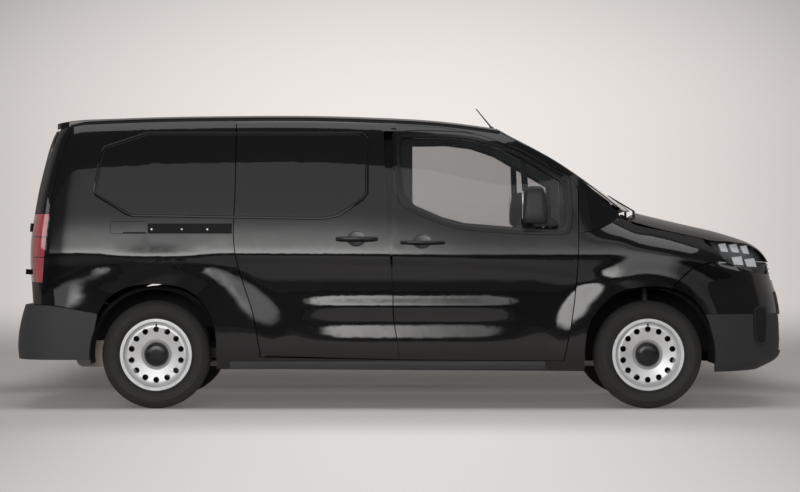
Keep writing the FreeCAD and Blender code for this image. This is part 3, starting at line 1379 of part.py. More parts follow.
def make_wipers():
    """Two wipers lying at the foot of the screen."""
    pieces = []
    for y, reach in ((-430, 560), (180, 600)):
        foot = Vector(1434, y, 1158)
        head = Vector(1434, y, top_height(screen_line, 1434, y) + 16)
        tip = Vector(1310, y + reach * 0.8, top_height(screen_line, 1310, y + reach * 0.8) + 12)
        pivot = Part.makeCylinder(8, (head - foot).Length, foot)
        arm = Part.makeCylinder(5, (tip - head).Length, head, tip - head)
        pieces.append(pivot.fuse(arm))
    return Part.makeCompound(pieces)


both_sides("quarter_panel", make_quarter_panel())
both_sides("sliding_door", make_sliding_door())
both_sides("front_door", make_front_door())
both_sides("door_glass", make_door_glass())
both_sides("front_wing", make_front_wing())
both_sides("side_frame", make_side_frame())
both_sides("mirror", make_mirror())
both_sides("headlamp", make_headlamp())
both_sides("tail_lamp", make_tail_lamp())
both_sides("knuckle", make_knuckle())
parts["roof_panel"] = make_roof()
parts["windscreen"] = make_windscreen()
parts["bonnet"] = make_bonnet()
parts["front_bumper"] = make_front_bumper()
parts["grille"] = make_grille()
parts["lower_intake"] = make_intake()
parts["rear_bumper"] = make_rear_bumper()
parts["rear_frame"] = make_rear_frame()
parts["rear_door_right"] = make_rear_door(-1, -rear_door_half_width, rear_split_y - rear_split_gap / 2)
parts["rear_door_left"] = make_rear_door(1, rear_split_y + rear_split_gap / 2, rear_door_half_width)
parts["floor"] = make_floor()
parts["front_frame"] = make_front_frame()
parts["bulkhead"] = make_bulkhead()
parts["dashboard"] = make_dashboard()
parts["cowl"] = make_cowl()
parts["engine_block"] = make_engine()
parts["seats"] = make_seats()
parts["steering_wheel"] = make_steering_wheel()
parts["front_subframe"] = make_subframe()
parts["rear_axle"] = make_rear_axle()
parts["exhaust"] = make_exhaust()
parts["fuel_tank"] = make_tank()
parts["antenna"] = make_antenna()
parts["wipers"] = make_wipers()
for place, axle_x, track in (("front", front_axle_x, front_track), ("rear", rear_axle_x, rear_track)):
    both_sides("tyre_" + place, placed(make_tyre(-track / 2), axle_x, 0, wheel_height))
    both_sides("rim_" + place, placed(make_rim(-track / 2), axle_x, 0, wheel_height))

os.makedirs("parts", exist_ok=True)
for name, shape in parts.items():
    shape.exportStep(f"parts/{name}.step")
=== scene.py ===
"""The looks of a compact long-wheelbase panel van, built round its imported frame, in metres.

The origin is on the ground, midway along the van and on its centreline. +X points to the front, +Y to the
van's left and +Z up. Each operator models one piece or one group of like pieces.
"""
import json
import math
from contextlib import contextmanager
import bmesh
import bpy
from bpy.props import FloatProperty, FloatVectorProperty, IntProperty, PointerProperty
from mathutils import Matrix, Vector


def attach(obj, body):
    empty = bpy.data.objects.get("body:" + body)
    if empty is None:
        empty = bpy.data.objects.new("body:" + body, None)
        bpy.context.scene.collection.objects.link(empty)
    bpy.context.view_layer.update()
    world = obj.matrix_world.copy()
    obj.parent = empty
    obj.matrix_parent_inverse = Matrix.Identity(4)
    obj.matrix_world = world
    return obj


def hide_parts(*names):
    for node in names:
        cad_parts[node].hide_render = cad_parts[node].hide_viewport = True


bl_info = {
    "name": "Panel van",
    "version": (1, 0, 0),
    "blender": (4, 5, 0),
    "location": "3D View > Sidebar > Panel van",
    "description": "Builds the looks of a panel van on its packed frame",
    "category": "Object",
}

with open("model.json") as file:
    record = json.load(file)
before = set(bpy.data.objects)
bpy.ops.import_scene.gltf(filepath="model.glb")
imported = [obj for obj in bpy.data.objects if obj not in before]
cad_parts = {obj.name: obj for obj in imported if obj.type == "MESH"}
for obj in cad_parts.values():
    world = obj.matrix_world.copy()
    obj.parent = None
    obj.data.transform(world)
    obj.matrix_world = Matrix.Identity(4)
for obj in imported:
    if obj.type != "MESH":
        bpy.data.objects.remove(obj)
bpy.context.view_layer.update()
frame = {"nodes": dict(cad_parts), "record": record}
shell = "body_shell"
sides = {"right": -1, "left": 1}
axles = {"front": 1.4845, "rear": -1.4905}
tracks = {"front": 1.553, "rear": 1.567}
wheel_height = 0.326
front_door_body = "front_door_{side}_body"

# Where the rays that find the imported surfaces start, in metres: beside, above, before and behind the van
side_start = -1.3
top_start = 2.4
front_start = 3.0
rear_start = -2.8

# Sizes and places of the small pieces in metres, x along the van, y across it and z up
millimetre = 0.001
thin_wall = 0.0015
valve_radius = 0.0045
valve_foot = (0.008, 0.188)
valve_reach = (0.034, -0.012)
seal_wall = 0.006
seal_lift = 0.0022
window_rim_radius = 0.0032
divider_ends = ((0.735, 1.500), (0.757, 1.110))
divider_half_width = 0.019
screen_lift = 0.0012
screen_border_width = 0.045
screen_header_x = (0.594, 0.634)
screen_header_y = [-0.598 + i * 0.0996 for i in range(13)]
strip_radius = 0.0105
roof_strip_x = [-2.03 + i * 0.0905 for i in range(30)]
roof_strip_y = -0.659
pillar_cap_x = (-0.126, -0.040)
pillar_cap_z = (1.738, 1.722, 1.700, 1.684)
recess_rim_radius = 0.0064
# the dark line inside each blank window's rim is painted shade of its step
recess_shade_radius = 0.0030
recess_pull = Vector((0.016, 0.05))
rail_x = (-1.538, -1.36, -1.20, -1.03)
rail_z = (1.115, 1.062)
rail_edge_z = {"top": 1.1165, "foot": 1.0605}
rail_lip_x = (-1.686, -1.60, -1.548)
rail_lip_z = 1.064
rail_wall = 0.003
rail_edge_radius = 0.0026
rail_lip_radius = 0.0034
rivet_radius = 0.006
rivet_height = 0.003
seam_radius = 0.0016
flap_seam_radius = 0.0018
handle_root = 0.003
handle_reach = 0.019
mirror_low = (0.716, -1.061, 1.118)
mirror_high = (0.872, -0.903, 1.342)
mirror_middle = (0.790, -0.972)
mirror_taper = (0.34, 0.26)
mirror_foot_y = -0.872
mirror_foot_reach = -0.094
mirror_glass_low = (0.7185, -1.032, 1.150)
mirror_glass_high = (0.7215, -0.930, 1.312)
lamp_back_x = (1.93, 1.99, 2.05, 2.11, 2.16)
lamp_back_z = (0.900, 0.930, 0.960, 0.985)
lamp_depth = 0.050
blade_depth = 0.014
blade_wall = 0.010
grille_side_edge = 0.012
grille_bar_edge = 0.014
bar_radius = 0.0062
post_radius = 0.0045
sill_x = [-1.04 + i * 0.1 for i in range(20)]
sill_rows = ((0.286, 0.0005), (0.280, 0.0040), (0.256, 0.0040), (0.240, 0.0025))
liner_wall = 0.002
liner_side = 0.868
liner_start = -8
liner_turn = 196
headliner_x = (-0.04, 0.12, 0.28, 0.44, 0.565)
headliner_half_width = 0.60
headliner_depth = 0.050
headliner_sag = 0.010
lining_lift = 0.003
seat_edge = 0.012
seat_sides = (0.13, 0.62)
seat_base_inset = 0.04
seat_base_x = (0.17, 0.63)
seat_base_z = (0.3455, 0.555)
cushion_x = (0.135, 0.640)
cushion_z = (0.570, 0.690)
back_x = (0.020, 0.135)
back_z = (0.690, 1.100)
back_lean = -8
back_pivot = (0.10, 0, 0.69)
pad_edge = 0.020
pad_grid = 0.012
pad_rise = 0.016
cloth_pressure = 4
cloth_frames = 16
blank_plate_y = (0.015, 0.15, 0.275, 0.40, 0.535)
blank_plate_z = (0.850, 0.905, 0.958)


# Lines of the right side in millimetres, as (x, z): seals, rims, seams and rails follow them

window_line = [
    (-17, 1600), (9, 1640), (289, 1643), (459, 1621), (628, 1562), (755, 1501), (959, 1373), (976, 1347),
    (977, 1116), (877, 1091), (624, 1101), (371, 1122), (244, 1156), (76, 1228), (9, 1296),
]
recess_line = [
    (-216, 1630), (-216, 1301), (-246, 1264), (-386, 1169), (-480, 1150), (-1640, 1169), (-1668, 1178),
    (-1850, 1290), (-1862, 1306), (-1836, 1530), (-1811, 1583), (-1560, 1668), (-250, 1668),
]
recess_middle = (-1040, 1410)
rail_cover_line = [(-1544, 1131), (-1764, 1131), (-1764, 1058), (-1544, 1058)]
rail_rivets = [(-1514, 1084), (-1332, 1084), (-1178, 1084)]
vent_line = [
    (2152, 598), (2212, 606), (2226, 560), (2222, 450), (2210, 392), (2160, 402), (2146, 470), (2143, 545),
]
vent_middle = (2184, 498)
filler_flap_line = [(-1690, 1000), (-1540, 1000), (-1540, 860), (-1690, 860)]
mirror_foot_line = [(800, 1196), (880, 1172), (938, 1122), (940, 1100), (790, 1098), (768, 1150)]

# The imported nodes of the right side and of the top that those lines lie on
side_nodes = (
    "quarter_panel_right", "sliding_door_right", "front_door_right", "front_wing_right", "side_frame_right",
    "front_bumper", "rear_bumper", "rear_frame",
)
top_nodes = (
    "roof_panel", "quarter_panel_right", "sliding_door_right", "front_door_right", "side_frame_right",
    "windscreen", "front_wing_right", "bonnet", "rear_frame",
)

# Profiles of the wheels in metres: above the bead or under the tread, and across
tyre_bead = [(0.0, 0.082), (0.010, 0.084), (0.018, 0.0905), (0.022, 0.0925), (0.025, 0.0905), (0.034, 0.0965)]
tyre_wall = [
    (0.052, 0.001), (0.060, 0.0), (0.070, 0.0015), (0.074, 0.0002), (0.077, 0.0018), (0.090, 0.005),
    (0.1005, 0.0105), (0.108, 0.0165),
]
tyre_shoulder = [(0.0035, 0.022), (0.0012, 0.030)]
tread_groove = [(0.0006, 0.006), (0.0075, 0.0035), (0.0075, -0.0035), (0.0, -0.006)]
tread_groove_places = (0.052, 0.0175)
wheel_cap = [
    (0.0745, 0.0006), (0.0745, 0.004), (0.0700, 0.0255), (0.0655, 0.0310), (0.0585, 0.0335), (0.0560, 0.0325),
    (0.0535, 0.0335), (0.030, 0.0350), (0.0, 0.0352), (0.0, 0.0302), (0.058, 0.0300), (0.068, 0.020),
    (0.0725, 0.0006),
]

# Door handles in metres: node, body, the cup's place and size, the bar's ends, height and radius
handle_rows = (
    ("front_door", front_door_body, (0.117, 1.011), (0.118, 0.092), (-0.010, 0.253), 1.0055, 0.0105),
    ("sliding_door", shell, (-0.279, 1.027), (0.120, 0.098), (-0.398, -0.154), 1.0265, 0.0135),
)
# Rings of each handle's dished cup sheet, as share of its size and lift; its dark tone is painted shade of
# the recess
handle_cup_shade_rings = ((1.0, 0.0004), (0.93, 0.0022), (0.84, 0.0012), (0.5, 0.0005), (0.1, 0.0004))

# Rims and floors of the bumper's vents: outset in millimetres with lift in metres, and shares of the line
vent_rims = ((9, 0.0005), (4, 0.0045), (-3, 0.0030), (-6, 0.0008))
vent_floor_shares = (0.96, 0.6, 0.2, 0.02)

# How far seals, rims and linings stand out from the lines that they follow, in millimetres
seal_distances = (20, 3)
window_rim_distance = 40
lining_distances = (4, 26, 58, 84)
recess_rim_distance = 5
recess_rim_pitch = 60

# Bars and posts of the grille and of the lower intake
grille_rows = (("grille", 4, 0), ("lower_intake", 5, 9))

# Headlamp reflectors in metres: middle and width, and the corners from them
lamp_blades = (
    (1.955, 0.972, 0.052), (2.030, 0.968, 0.056), (2.105, 0.960, 0.050), (2.040, 0.892, 0.070),
    (2.130, 0.880, 0.076),
)
blade_corners = ((-1, -0.004, 0.022), (1, -0.004, 0.028), (1, 0.004, -0.026), (-1, 0.010, -0.022))

# Wheel arch liners in metres: radius, and how far from the centreline they end
arch_liners = {"front": (0.4035, 0.50), "rear": (0.3965, 0.62)}

# Colour of the light all round, and the studio lights: name, place, turn in degrees, size and watts
air_tone = (0.60, 0.59, 0.585)
softboxes = (
    ("overhead_softbox", (0.2, -1.0, 5.2), (0, 0, 0), (7.5, 2.6), 120),
    ("front_softbox", (9.5, -3.5, 3.6), (68, 0, 70), (4.0, 2.0), 50),
    ("rear_softbox", (-9.5, -3.0, 3.4), (70, 0, -70), (4.0, 2.0), 60),
)

# Lines along the windscreen's edge, seen from above in metres, as (x, y)
pillar_line = [(0.60, -0.618), (0.80, -0.656), (1.05, -0.698), (1.322, -0.744)]
screen_edge_line = [(0.596, -0.604), (0.80, -0.644), (1.05, -0.684), (1.326, -0.728)]


# Settings

def colour_setting(name, note, value):
    """A colour that can be set."""
    return FloatVectorProperty(name=name, description=note, subtype="COLOR", default=value, min=0, max=1)


def length_setting(name, note, value, least=0.0):
    """A length that can be set."""
    return FloatProperty(name=name, description=note, subtype="DISTANCE", default=value, min=least)


class PaintSettings(bpy.types.PropertyGroup):
    """Colours of the body and its trim."""
    paint: colour_setting("Paint", "Base colour of the body", (0.0035, 0.0035, 0.004))
    plastic: colour_setting("Grained plastic", "Colour of bumpers and trim", (0.030, 0.030, 0.032))
    silver: colour_setting("Wheel silver", "Colour of the rims", (0.74, 0.75, 0.76))
    red: colour_setting("Lamp red", "Colour of the tail lamps", (0.42, 0.012, 0.02))
    backdrop: colour_setting("Backdrop", "Colour of the floor and the backdrop", (0.86, 0.82, 0.79))


class WheelSettings(bpy.types.PropertyGroup):
    """Sizes of the wheels."""
    tyre_radius: length_setting("Tyre radius", "Outer radius of the tyre", wheel_height, 0.1)
    tyre_width: length_setting("Tyre width", "Width of the tyre's section", 0.205, 0.05)
    bead_radius: length_setting("Bead radius", "Inner radius of the tyre", 0.2065, 0.05)
    disc_outset: length_setting("Disc outset", "Face of the disc from the wheel's middle", 0.036)


class StageSettings(bpy.types.PropertyGroup):
    """Camera and light."""
    distance: length_setting("Camera distance", "Camera to the van's centreline", 17.0, 1.0)
    eye_height: length_setting("Camera height", "Height of the camera", 0.983)
    eye_x: length_setting("Camera place", "Place of the camera along the van", -0.0157, -10.0)
    lens: FloatProperty(name="Lens", description="Focal length", default=120.15, min=10)
    ambient: FloatProperty(name="Ambient", description="Strength of the light all round", default=0.18, min=0)
    steps: IntProperty(name="Round steps", description="Steps of the finest round pieces", default=96, min=16)


# Shader maths

class Signal:
    """A socket that varies over a surface; sums and products of signals add Math nodes."""

    def __init__(self, look, socket):
        self.look = look
        self.socket = socket

    def math(self, operation, other=None, swap=False):
        values = [self] if other is None else ([other, self] if swap else [self, other])
        return self.look.node("ShaderNodeMath", {"operation": operation}, dict(enumerate(values)))

    def __add__(self, other):
        return self.math("ADD", other)

    def __sub__(self, other):
        return self.math("SUBTRACT", other)

    def __rsub__(self, other):
        return self.math("SUBTRACT", other, True)

    def __mul__(self, other):
        return self.math("MULTIPLY", other)

    __radd__ = __add__
    __rmul__ = __mul__

    def above(self, edge):
        return self.math("GREATER_THAN", edge)

    def below(self, edge):
        return self.math("LESS_THAN", edge)

    def absolute(self):
        return self.math("ABSOLUTE")

    def sine(self):
        return self.math("SINE")

    def smooth(self, low, high):
        """0 at low, 1 at high, with a soft start and end."""
        settings = {"interpolation_type": "SMOOTHSTEP"}
        return self.look.node("ShaderNodeMapRange", settings, {0: self, 1: low, 2: high, 3: 0.0, 4: 1.0})


class Look:
    """A material in the making."""

    def __init__(self, name):
        self.material = bpy.data.materials.new(name)
        self.material.use_nodes = True
        self.tree = self.material.node_tree
        self.tree.nodes.clear()

    def node(self, kind, settings=None, inputs=None, output=0):
        """Adds a node, sets it and its inputs, and gives one of its outputs as a signal."""
        made = self.tree.nodes.new(kind)
        for key, value in (settings or {}).items():
            setattr(made, key, value)
        for key, value in (inputs or {}).items():
            if isinstance(value, Signal):
                self.tree.links.new(value.socket, made.inputs[key])
            else:
                made.inputs[key].default_value = value
        return Signal(self, made.outputs[output]) if len(made.outputs) else made

    def place(self):
        """Object coordinates as three signals."""
        where = self.node("ShaderNodeTexCoord", output=3)
        split = self.node("ShaderNodeSeparateXYZ", inputs={0: where})
        return [Signal(self, out) for out in split.socket.node.outputs]

    def noise(self, scale, detail=3.0, rough=0.5):
        """Noise over Object coordinates, about 0.5 on the average."""
        where = self.node("ShaderNodeTexCoord", output=3)
        return self.node("ShaderNodeTexNoise", inputs={
            "Vector": where, "Scale": scale, "Detail": detail, "Roughness": rough})

    def tint(self, factor, first, second):
        """A colour between two colours."""
        inputs = {0: factor, 6: first, 7: second}
        inputs = {k: (v if isinstance(v, Signal) or k == 0 else colour(v)) for k, v in inputs.items()}
        return self.node("ShaderNodeMix", {"data_type": "RGBA"}, inputs, 2)

    def bump(self, height, strength, distance):
        """Normals of a relief."""
        inputs = {"Strength": strength, "Distance": distance, "Height": height}
        return self.node("ShaderNodeBump", inputs=inputs)

    def read(self, kind, key):
        """One of the values that a node of this kind reads, by the name of its output."""
        return Signal(self, self.node(kind).socket.node.outputs[key])

    def blend(self, factor, first, second):
        """A shader between two shaders."""
        return self.node("ShaderNodeMixShader", inputs={0: factor, 1: first, 2: second})

    def output(self, shader):
        """Ends the material with a shader."""
        self.node("ShaderNodeOutputMaterial", inputs={0: shader})
        return self.material

    def finish(self, **values):
        """Ends with a Principled shader; names are its sockets' with underscores for spaces."""
        names = {key.replace("_", " "): value for key, value in values.items()}
        return self.output(self.node("ShaderNodeBsdfPrincipled", inputs=names))


def colour(values):
    """A colour with full alpha."""
    return (*values, 1.0)


def deeper(tone, factor, lift=0.0):
    """A tone times a factor, and a lift added."""
    return [value * factor + lift for value in tone]


def make_paint(tone):
    """Deep gloss paint with a fine flake and a little dust low down; its clear coat fades at a glance, which
    paints shade on tops such as the bonnet.
    """
    look = Look("gloss_paint")
    z = look.place()[2]
    flake = look.noise(900.0, 1.0)
    dust = (1 - z.smooth(0.25, 0.62)) * look.noise(9.0, 4.0)
    base = look.tint(flake * 0.35, tone, deeper(tone, 3, 0.002))
    base = look.tint(dust * 0.10, base, (0.16, 0.14, 0.12))
    peel = look.bump(look.noise(160.0, 1.0), 0.02, 0.0006)
    # painted shade: the clear coat fades where the paint is seen at a glance, so tops such as the bonnet lose
    # their reflection and look dark
    facing = look.node("ShaderNodeLayerWeight", inputs={"Blend": 0.5}, output=1)
    return look.finish(Base_Color=base, Roughness=0.30 + dust * 0.25, Specular_IOR_Level=0.04,
                       Coat_Weight=(1.0 - dust * 0.3) * (1 - facing.smooth(0.58, 0.86) * 0.92),
                       Coat_Roughness=0.022, Coat_IOR=1.45, Normal=peel)


def make_plastic(name, tone, rough, grain, depth):
    """Moulded plastic with a leather-like grain and light scuffs."""
    look = Look(name)
    fine = look.noise(grain, 2.0, 0.6)
    broad = look.noise(6.0, 3.0)
    base = look.tint(fine * 0.5 + broad * 0.3, tone, deeper(tone, 1.7, 0.004))
    return look.finish(Base_Color=base, Roughness=rough + (broad - 0.5) * 0.12, Specular_IOR_Level=0.4,
                       Normal=look.bump(fine, 0.35, depth))


def make_metal(name, tone, rough, metallic, patch):
    """Painted or bare metal with cloudy wear."""
    look = Look(name)
    cloud = look.noise(patch, 5.0, 0.6)
    fine = look.noise(420.0, 2.0)
    base = look.tint(cloud, deeper(tone, 0.72), [min(value, 0.9) for value in deeper(tone, 1.18)])
    return look.finish(Base_Color=base, Roughness=rough + (cloud - 0.5) * 0.18, Metallic=metallic,
                       Normal=look.bump(fine, 0.15, 0.0002))


def make_glass(name, tone, clear, gloss=1.0):
    """Tinted pane: see-through face on, mirror-like at a glance."""
    look = Look(name)
    edge = look.node("ShaderNodeFresnel", inputs={"IOR": 1.5})
    haze = look.noise(3.0, 3.0)
    return look.finish(Base_Color=look.tint(haze, tone, deeper(tone, 1.3)),
                       Roughness=0.015 + haze * 0.02, Specular_IOR_Level=gloss,
                       Alpha=(1 - clear) + edge * 0.9 + haze * 0.03)


def make_painted_glow_blade(tone):
    """Pale moulded reflector with painted light: it glows in cloudy patches, standing in for the light that
    it gathers.
    """
    look = Look("lamp_blade")
    cloud = look.noise(30.0, 4.0)
    # painted light: a glow in cloudy patches stands in for the light that the reflector gathers
    glow = look.tint(cloud, deeper(tone, 0.22), deeper(tone, 0.42))
    return look.finish(Base_Color=look.tint(cloud, deeper(tone, 0.75), tone), Roughness=0.30 + cloud * 0.1,
                       Emission_Color=glow, Emission_Strength=1.0)


def make_tail_lens(tone):
    """Tail lamp: pinkish on its side, deep red at its rear edge, with two darker lines across."""
    look = Look("tail_lens")
    x, _, z = look.place()
    side = x.smooth(-2.262, -2.215)
    rib = (z * 900.0).sine() * 0.5 + 0.5
    base = look.tint(side, deeper(tone, 0.45), (0.50, 0.075, 0.085))
    base = look.tint(rib * 0.30, base, tone)
    line = (z - 1.038).absolute().below(0.004) + (z - 0.915).absolute().below(0.004)
    base = look.tint(line * 0.85, base, (0.05, 0.003, 0.004))
    return look.finish(Base_Color=base, Roughness=0.10 + rib * 0.06, Coat_Weight=1.0,
                       Coat_Roughness=0.02)


def make_rubber():
    """Tyre rubber with a dusty bloom."""
    look = Look("rubber")
    bloom = look.noise(14.0, 4.0, 0.6)
    fine = look.noise(700.0, 2.0)
    base = look.tint(bloom, (0.014, 0.014, 0.014), (0.034, 0.033, 0.032))
    return look.finish(Base_Color=base, Roughness=0.55 + bloom * 0.2, Specular_IOR_Level=0.35,
                       Normal=look.bump(fine, 0.25, 0.0003))


def make_cloth(name, tone):
    """Woven seat cloth."""
    look = Look(name)
    x, y, z = look.place()
    weave = ((x + z) * 2600.0).sine() * (y * 2600.0).sine() * 0.5 + 0.5
    wear = look.noise(7.0, 4.0)
    base = look.tint(weave * 0.6 + wear * 0.4, deeper(tone, 0.6), deeper(tone, 1.5))
    return look.finish(Base_Color=base, Roughness=0.82 + wear * 0.1, Sheen_Weight=0.25,
                       Normal=look.bump(weave, 0.4, 0.0006))


def make_bumper_finish(tone, plastic):
    """Paint above the split of the front bumper and grained plastic below it and round the intake."""
    look = Look("bumper_finish")
    _, y, z = look.place()
    low = z.below(0.570)
    middle = y.absolute().below(0.50) * z.below(0.70)
    dark = (low + middle).above(0.5)
    fine = look.noise(700.0, 2.0)
    flake = look.noise(900.0, 1.0)
    paint = look.tint(flake * 0.35, tone, deeper(tone, 3, 0.002))
    grained = look.tint(fine * 0.5, plastic, deeper(plastic, 1.6))
    return look.finish(Base_Color=look.tint(dark, paint, grained), Roughness=0.30 + dark * 0.32,
                       Specular_IOR_Level=0.04 + dark * 0.3, Coat_Weight=1 - dark, Coat_Roughness=0.025,
                       Normal=look.bump(fine * dark, 0.3, 0.0005))


# The material slot of each finish, looked up when a piece is fitted
slot_of = {
    "paint": "paint", "satin": "dark_plastic", "dark": "dark_plastic", "lining_black": "dark_plastic",
    "lamp_inside": "dark_plastic", "lamp_blade": "wheel_silver", "silver": "wheel_silver",
    "plate": "wheel_silver", "grained": "grained_plastic", "trim_grey": "grained_plastic", "mirror": "glass",
    "rubber": "tyre", "cloth": "seat_cloth", "lining": "seat_cloth",
}
finishes = {}


def make_finishes():
    """Makes every finish once."""
    tones = bpy.context.scene.van_paint
    finishes.update({
        "paint": make_paint(tones.paint),
        "bumper": make_bumper_finish(tones.paint, tones.plastic),
        "grained": make_plastic("grained_plastic", tones.plastic, 0.60, 650.0, 0.0006),
        "dark": make_plastic("dark_plastic", (0.012, 0.012, 0.013), 0.45, 500.0, 0.0003),
        "satin": make_plastic("satin_black", (0.006, 0.006, 0.007), 0.22, 300.0, 0.0001),
        "glass": make_glass("cab_glass", (0.03, 0.033, 0.035), 0.79),
        "screen": make_glass("screen_glass", (0.012, 0.013, 0.014), 0.70, 0.12),
        "lens": make_glass("clear_lens", (0.22, 0.23, 0.24), 0.93),
        "tail": make_tail_lens(tones.red),
        "silver": make_metal("wheel_silver", tones.silver, 0.34, 0.30, 5.0),
        "mirror": make_metal("reflector", (0.82, 0.83, 0.84), 0.12, 1.0, 30.0),
        "lamp_inside": make_metal("lamp_inside", (0.15, 0.155, 0.16), 0.35, 0.15, 30.0),
        "lamp_blade": make_painted_glow_blade((0.86, 0.87, 0.88)),
        "iron": make_metal("cast_iron", (0.10, 0.095, 0.09), 0.62, 0.7, 18.0),
        "steel": make_metal("black_steel", (0.03, 0.03, 0.032), 0.48, 0.3, 12.0),
        "pipe": make_metal("exhaust_steel", (0.34, 0.31, 0.28), 0.42, 0.9, 9.0),
        "rubber": make_rubber(),
        "cloth": make_cloth("seat_cloth", (0.045, 0.045, 0.05)),
        "lining": make_cloth("pale_lining", (0.55, 0.54, 0.52)),
        "trim_grey": make_plastic("grey_trim", (0.36, 0.355, 0.345), 0.70, 500.0, 0.0003),
        "lining_black": make_plastic("arch_lining", (0.004, 0.004, 0.004), 0.85, 300.0, 0.0004),
        "plate": make_plastic("blank_plate", (0.62, 0.62, 0.60), 0.35, 200.0, 0.0001),
    })


# Modelling helpers

def clear_selection():
    """Leaves edit mode and selects nothing."""
    active = bpy.context.view_layer.objects.active
    if active and active.mode != "OBJECT":
        bpy.ops.object.mode_set(mode="OBJECT")
    bpy.ops.object.select_all(action="DESELECT")


def only(obj):
    """Selects one object and makes it active."""
    clear_selection()
    obj.select_set(True)
    bpy.context.view_layer.objects.active = obj
    return obj


def named(name):
    """Names the object that was just added."""
    obj = bpy.context.view_layer.objects.active
    obj.name = name
    obj.data.name = name
    return obj


def rest(obj):
    """Puts an object's place, turn and size into its mesh."""
    only(obj)
    bpy.ops.object.transform_apply(location=True, rotation=True, scale=True)
    return obj


@contextmanager
def edited(obj):
    """Edit mode on one object, with all of it selected."""
    only(obj)
    bpy.ops.object.mode_set(mode="EDIT")
    bpy.ops.mesh.select_all(action="SELECT")
    yield
    bpy.ops.object.mode_set(mode="OBJECT")


def modified(obj, kind, **values):
    """Adds a modifier, sets it and applies it."""
    only(obj)
    modifier = obj.modifiers.new(kind.lower(), kind)
    for key, value in values.items():
        setattr(modifier, key, value)
    bpy.ops.object.modifier_apply(modifier=modifier.name)
    return obj


def settle(obj):
    """Merges doubles and turns all faces outwards."""
    with edited(obj):
        bpy.ops.mesh.remove_doubles(threshold=0.02 * millimetre)
        bpy.ops.mesh.normals_make_consistent(inside=False)
    return obj


def rounded(obj, width, segments=2):
    """Rounds the sharp edges."""
    return modified(obj, "BEVEL", width=width, segments=segments, limit_method="ANGLE",
                    angle_limit=math.radians(30))


def shaded(obj, angle=35):
    """Smooth shading with the sharp edges kept."""
    only(obj)
    bpy.ops.object.shade_smooth_by_angle(angle=math.radians(angle))
    return obj


def block(name, low, high):
    """A cuboid between two corners, from a cube at its size and place."""
    clear_selection()
    middle = [(a + b) / 2 for a, b in zip(low, high)]
    size = [b - a for a, b in zip(low, high)]
    bpy.ops.mesh.primitive_cube_add(size=1, location=middle, scale=size)
    return rest(named(name))


def traced(name, points, loop=False):
    """A line of edges through points, drawn by extruding one vertex."""
    clear_selection()
    points = [Vector(p) for p in points]
    bpy.ops.mesh.primitive_plane_add(size=0.01, location=points[0])
    obj = named(name)
    with edited(obj):
        bpy.ops.mesh.merge(type="CENTER")
        bpy.ops.mesh.select_mode(type="VERT")
        for here, there in zip(points, points[1:]):
            bpy.ops.mesh.extrude_vertices_move(TRANSFORM_OT_translate={"value": there - here})
        if loop:
            bpy.ops.mesh.select_all(action="DESELECT")
            mesh = bmesh.from_edit_mesh(obj.data)
            for vertex in mesh.verts:
                vertex.select = len(vertex.link_edges) == 1
            bmesh.update_edit_mesh(obj.data)
            bpy.ops.mesh.edge_face_add()
    return rest(obj)


def plate(name, points, push):
    """A flat closed outline, filled and pushed out to a solid."""
    obj = traced(name, points, True)
    with edited(obj):
        bpy.ops.mesh.edge_face_add()
        bpy.ops.mesh.extrude_region_move(TRANSFORM_OT_translate={"value": push})
    return settle(obj)


def lathed(name, profile, centre, steps):
    """A ring about an axle line, from a profile of radius and place across."""
    x, y, z = centre
    obj = traced(name, [(x, y + across, z + radius) for radius, across in profile], True)
    with edited(obj):
        bpy.ops.mesh.spin(steps=steps, angle=math.tau, center=centre, axis=(0, 1, 0))
    return settle(obj)


def tube(name, points, radius, loop=False, fineness=2):
    """A round bar that follows points."""
    only(traced(name, points, loop))
    bpy.ops.object.convert(target="CURVE")
    obj = bpy.context.view_layer.objects.active
    obj.data.bevel_depth = radius
    obj.data.bevel_resolution = fineness
    obj.data.use_fill_caps = True
    bpy.ops.object.convert(target="MESH")
    return settle(obj)


def joined(name, pieces):
    """Several objects as one."""
    clear_selection()
    for piece in pieces:
        piece.select_set(True)
    bpy.context.view_layer.objects.active = pieces[0]
    bpy.ops.object.join()
    return named(name)


def other_side(obj, name):
    """The mirror image across the van's centre plane."""
    only(obj)
    bpy.ops.object.duplicate(linked=False)
    copy = named(name)
    copy.scale = (1, -1, 1)
    with edited(rest(copy)):
        bpy.ops.mesh.normals_make_consistent(inside=False)
    return copy


def fitted(obj, finish, body, smooth=35, slot=None):
    """Gives a finished piece its material, its shading and its body."""
    obj.data.materials.clear()
    obj.data.materials.append(finishes[finish])
    shaded(obj, smooth)
    slot = slot or slot_of[finish]
    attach(obj, body)
    return obj


def both(obj, base, finish, body=shell, smooth=35, slot=None):
    """Fits a right-hand piece and its mirror image; body may hold {side}."""
    left = other_side(obj, base + "_left")
    obj.name = base + "_right"
    fitted(left, finish, body.format(side="left"), smooth, slot)
    return [fitted(obj, finish, body.format(side="right"), smooth, slot), left]


def bar_pair(name, line, radius, finish, body=shell, loop=False):
    """A round bar along a line of the right side, and its mirror image."""
    return both(tube(name, line, radius, loop), name, finish, body)


def sheet_pair(name, lines, wall, finish, body=shell, loop=False):
    """A sheet through lines of the right side, and its mirror image."""
    return both(walled(name, lines, wall, loop), name, finish, body)


def smooth_line(points, per=6, loop=False):
    """A rounder line through points."""
    points = [Vector(p) for p in points]
    count = len(points)
    spans = count if loop else count - 1
    out = []
    for i in range(spans):
        if loop:
            a, b, c, d = (points[(i + k) % count] for k in (-1, 0, 1, 2))
        else:
            a, b, c, d = points[max(i - 1, 0)], points[i], points[i + 1], points[min(i + 2, count - 1)]
        for k in range(per):
            t = k / per
            out.append(0.5 * (2 * b + (c - a) * t + (2 * a - 5 * b + 4 * c - d) * t * t
                              + (3 * b - a - 3 * c + d) * t ** 3))
    if not loop:
        out.append(points[-1])
    return out


def side_points(pairs, y):
    """Points in a plane along the van, from places seen from the side in millimetres."""
    return [Vector((x / 1000, y, z / 1000)) for x, z in pairs]


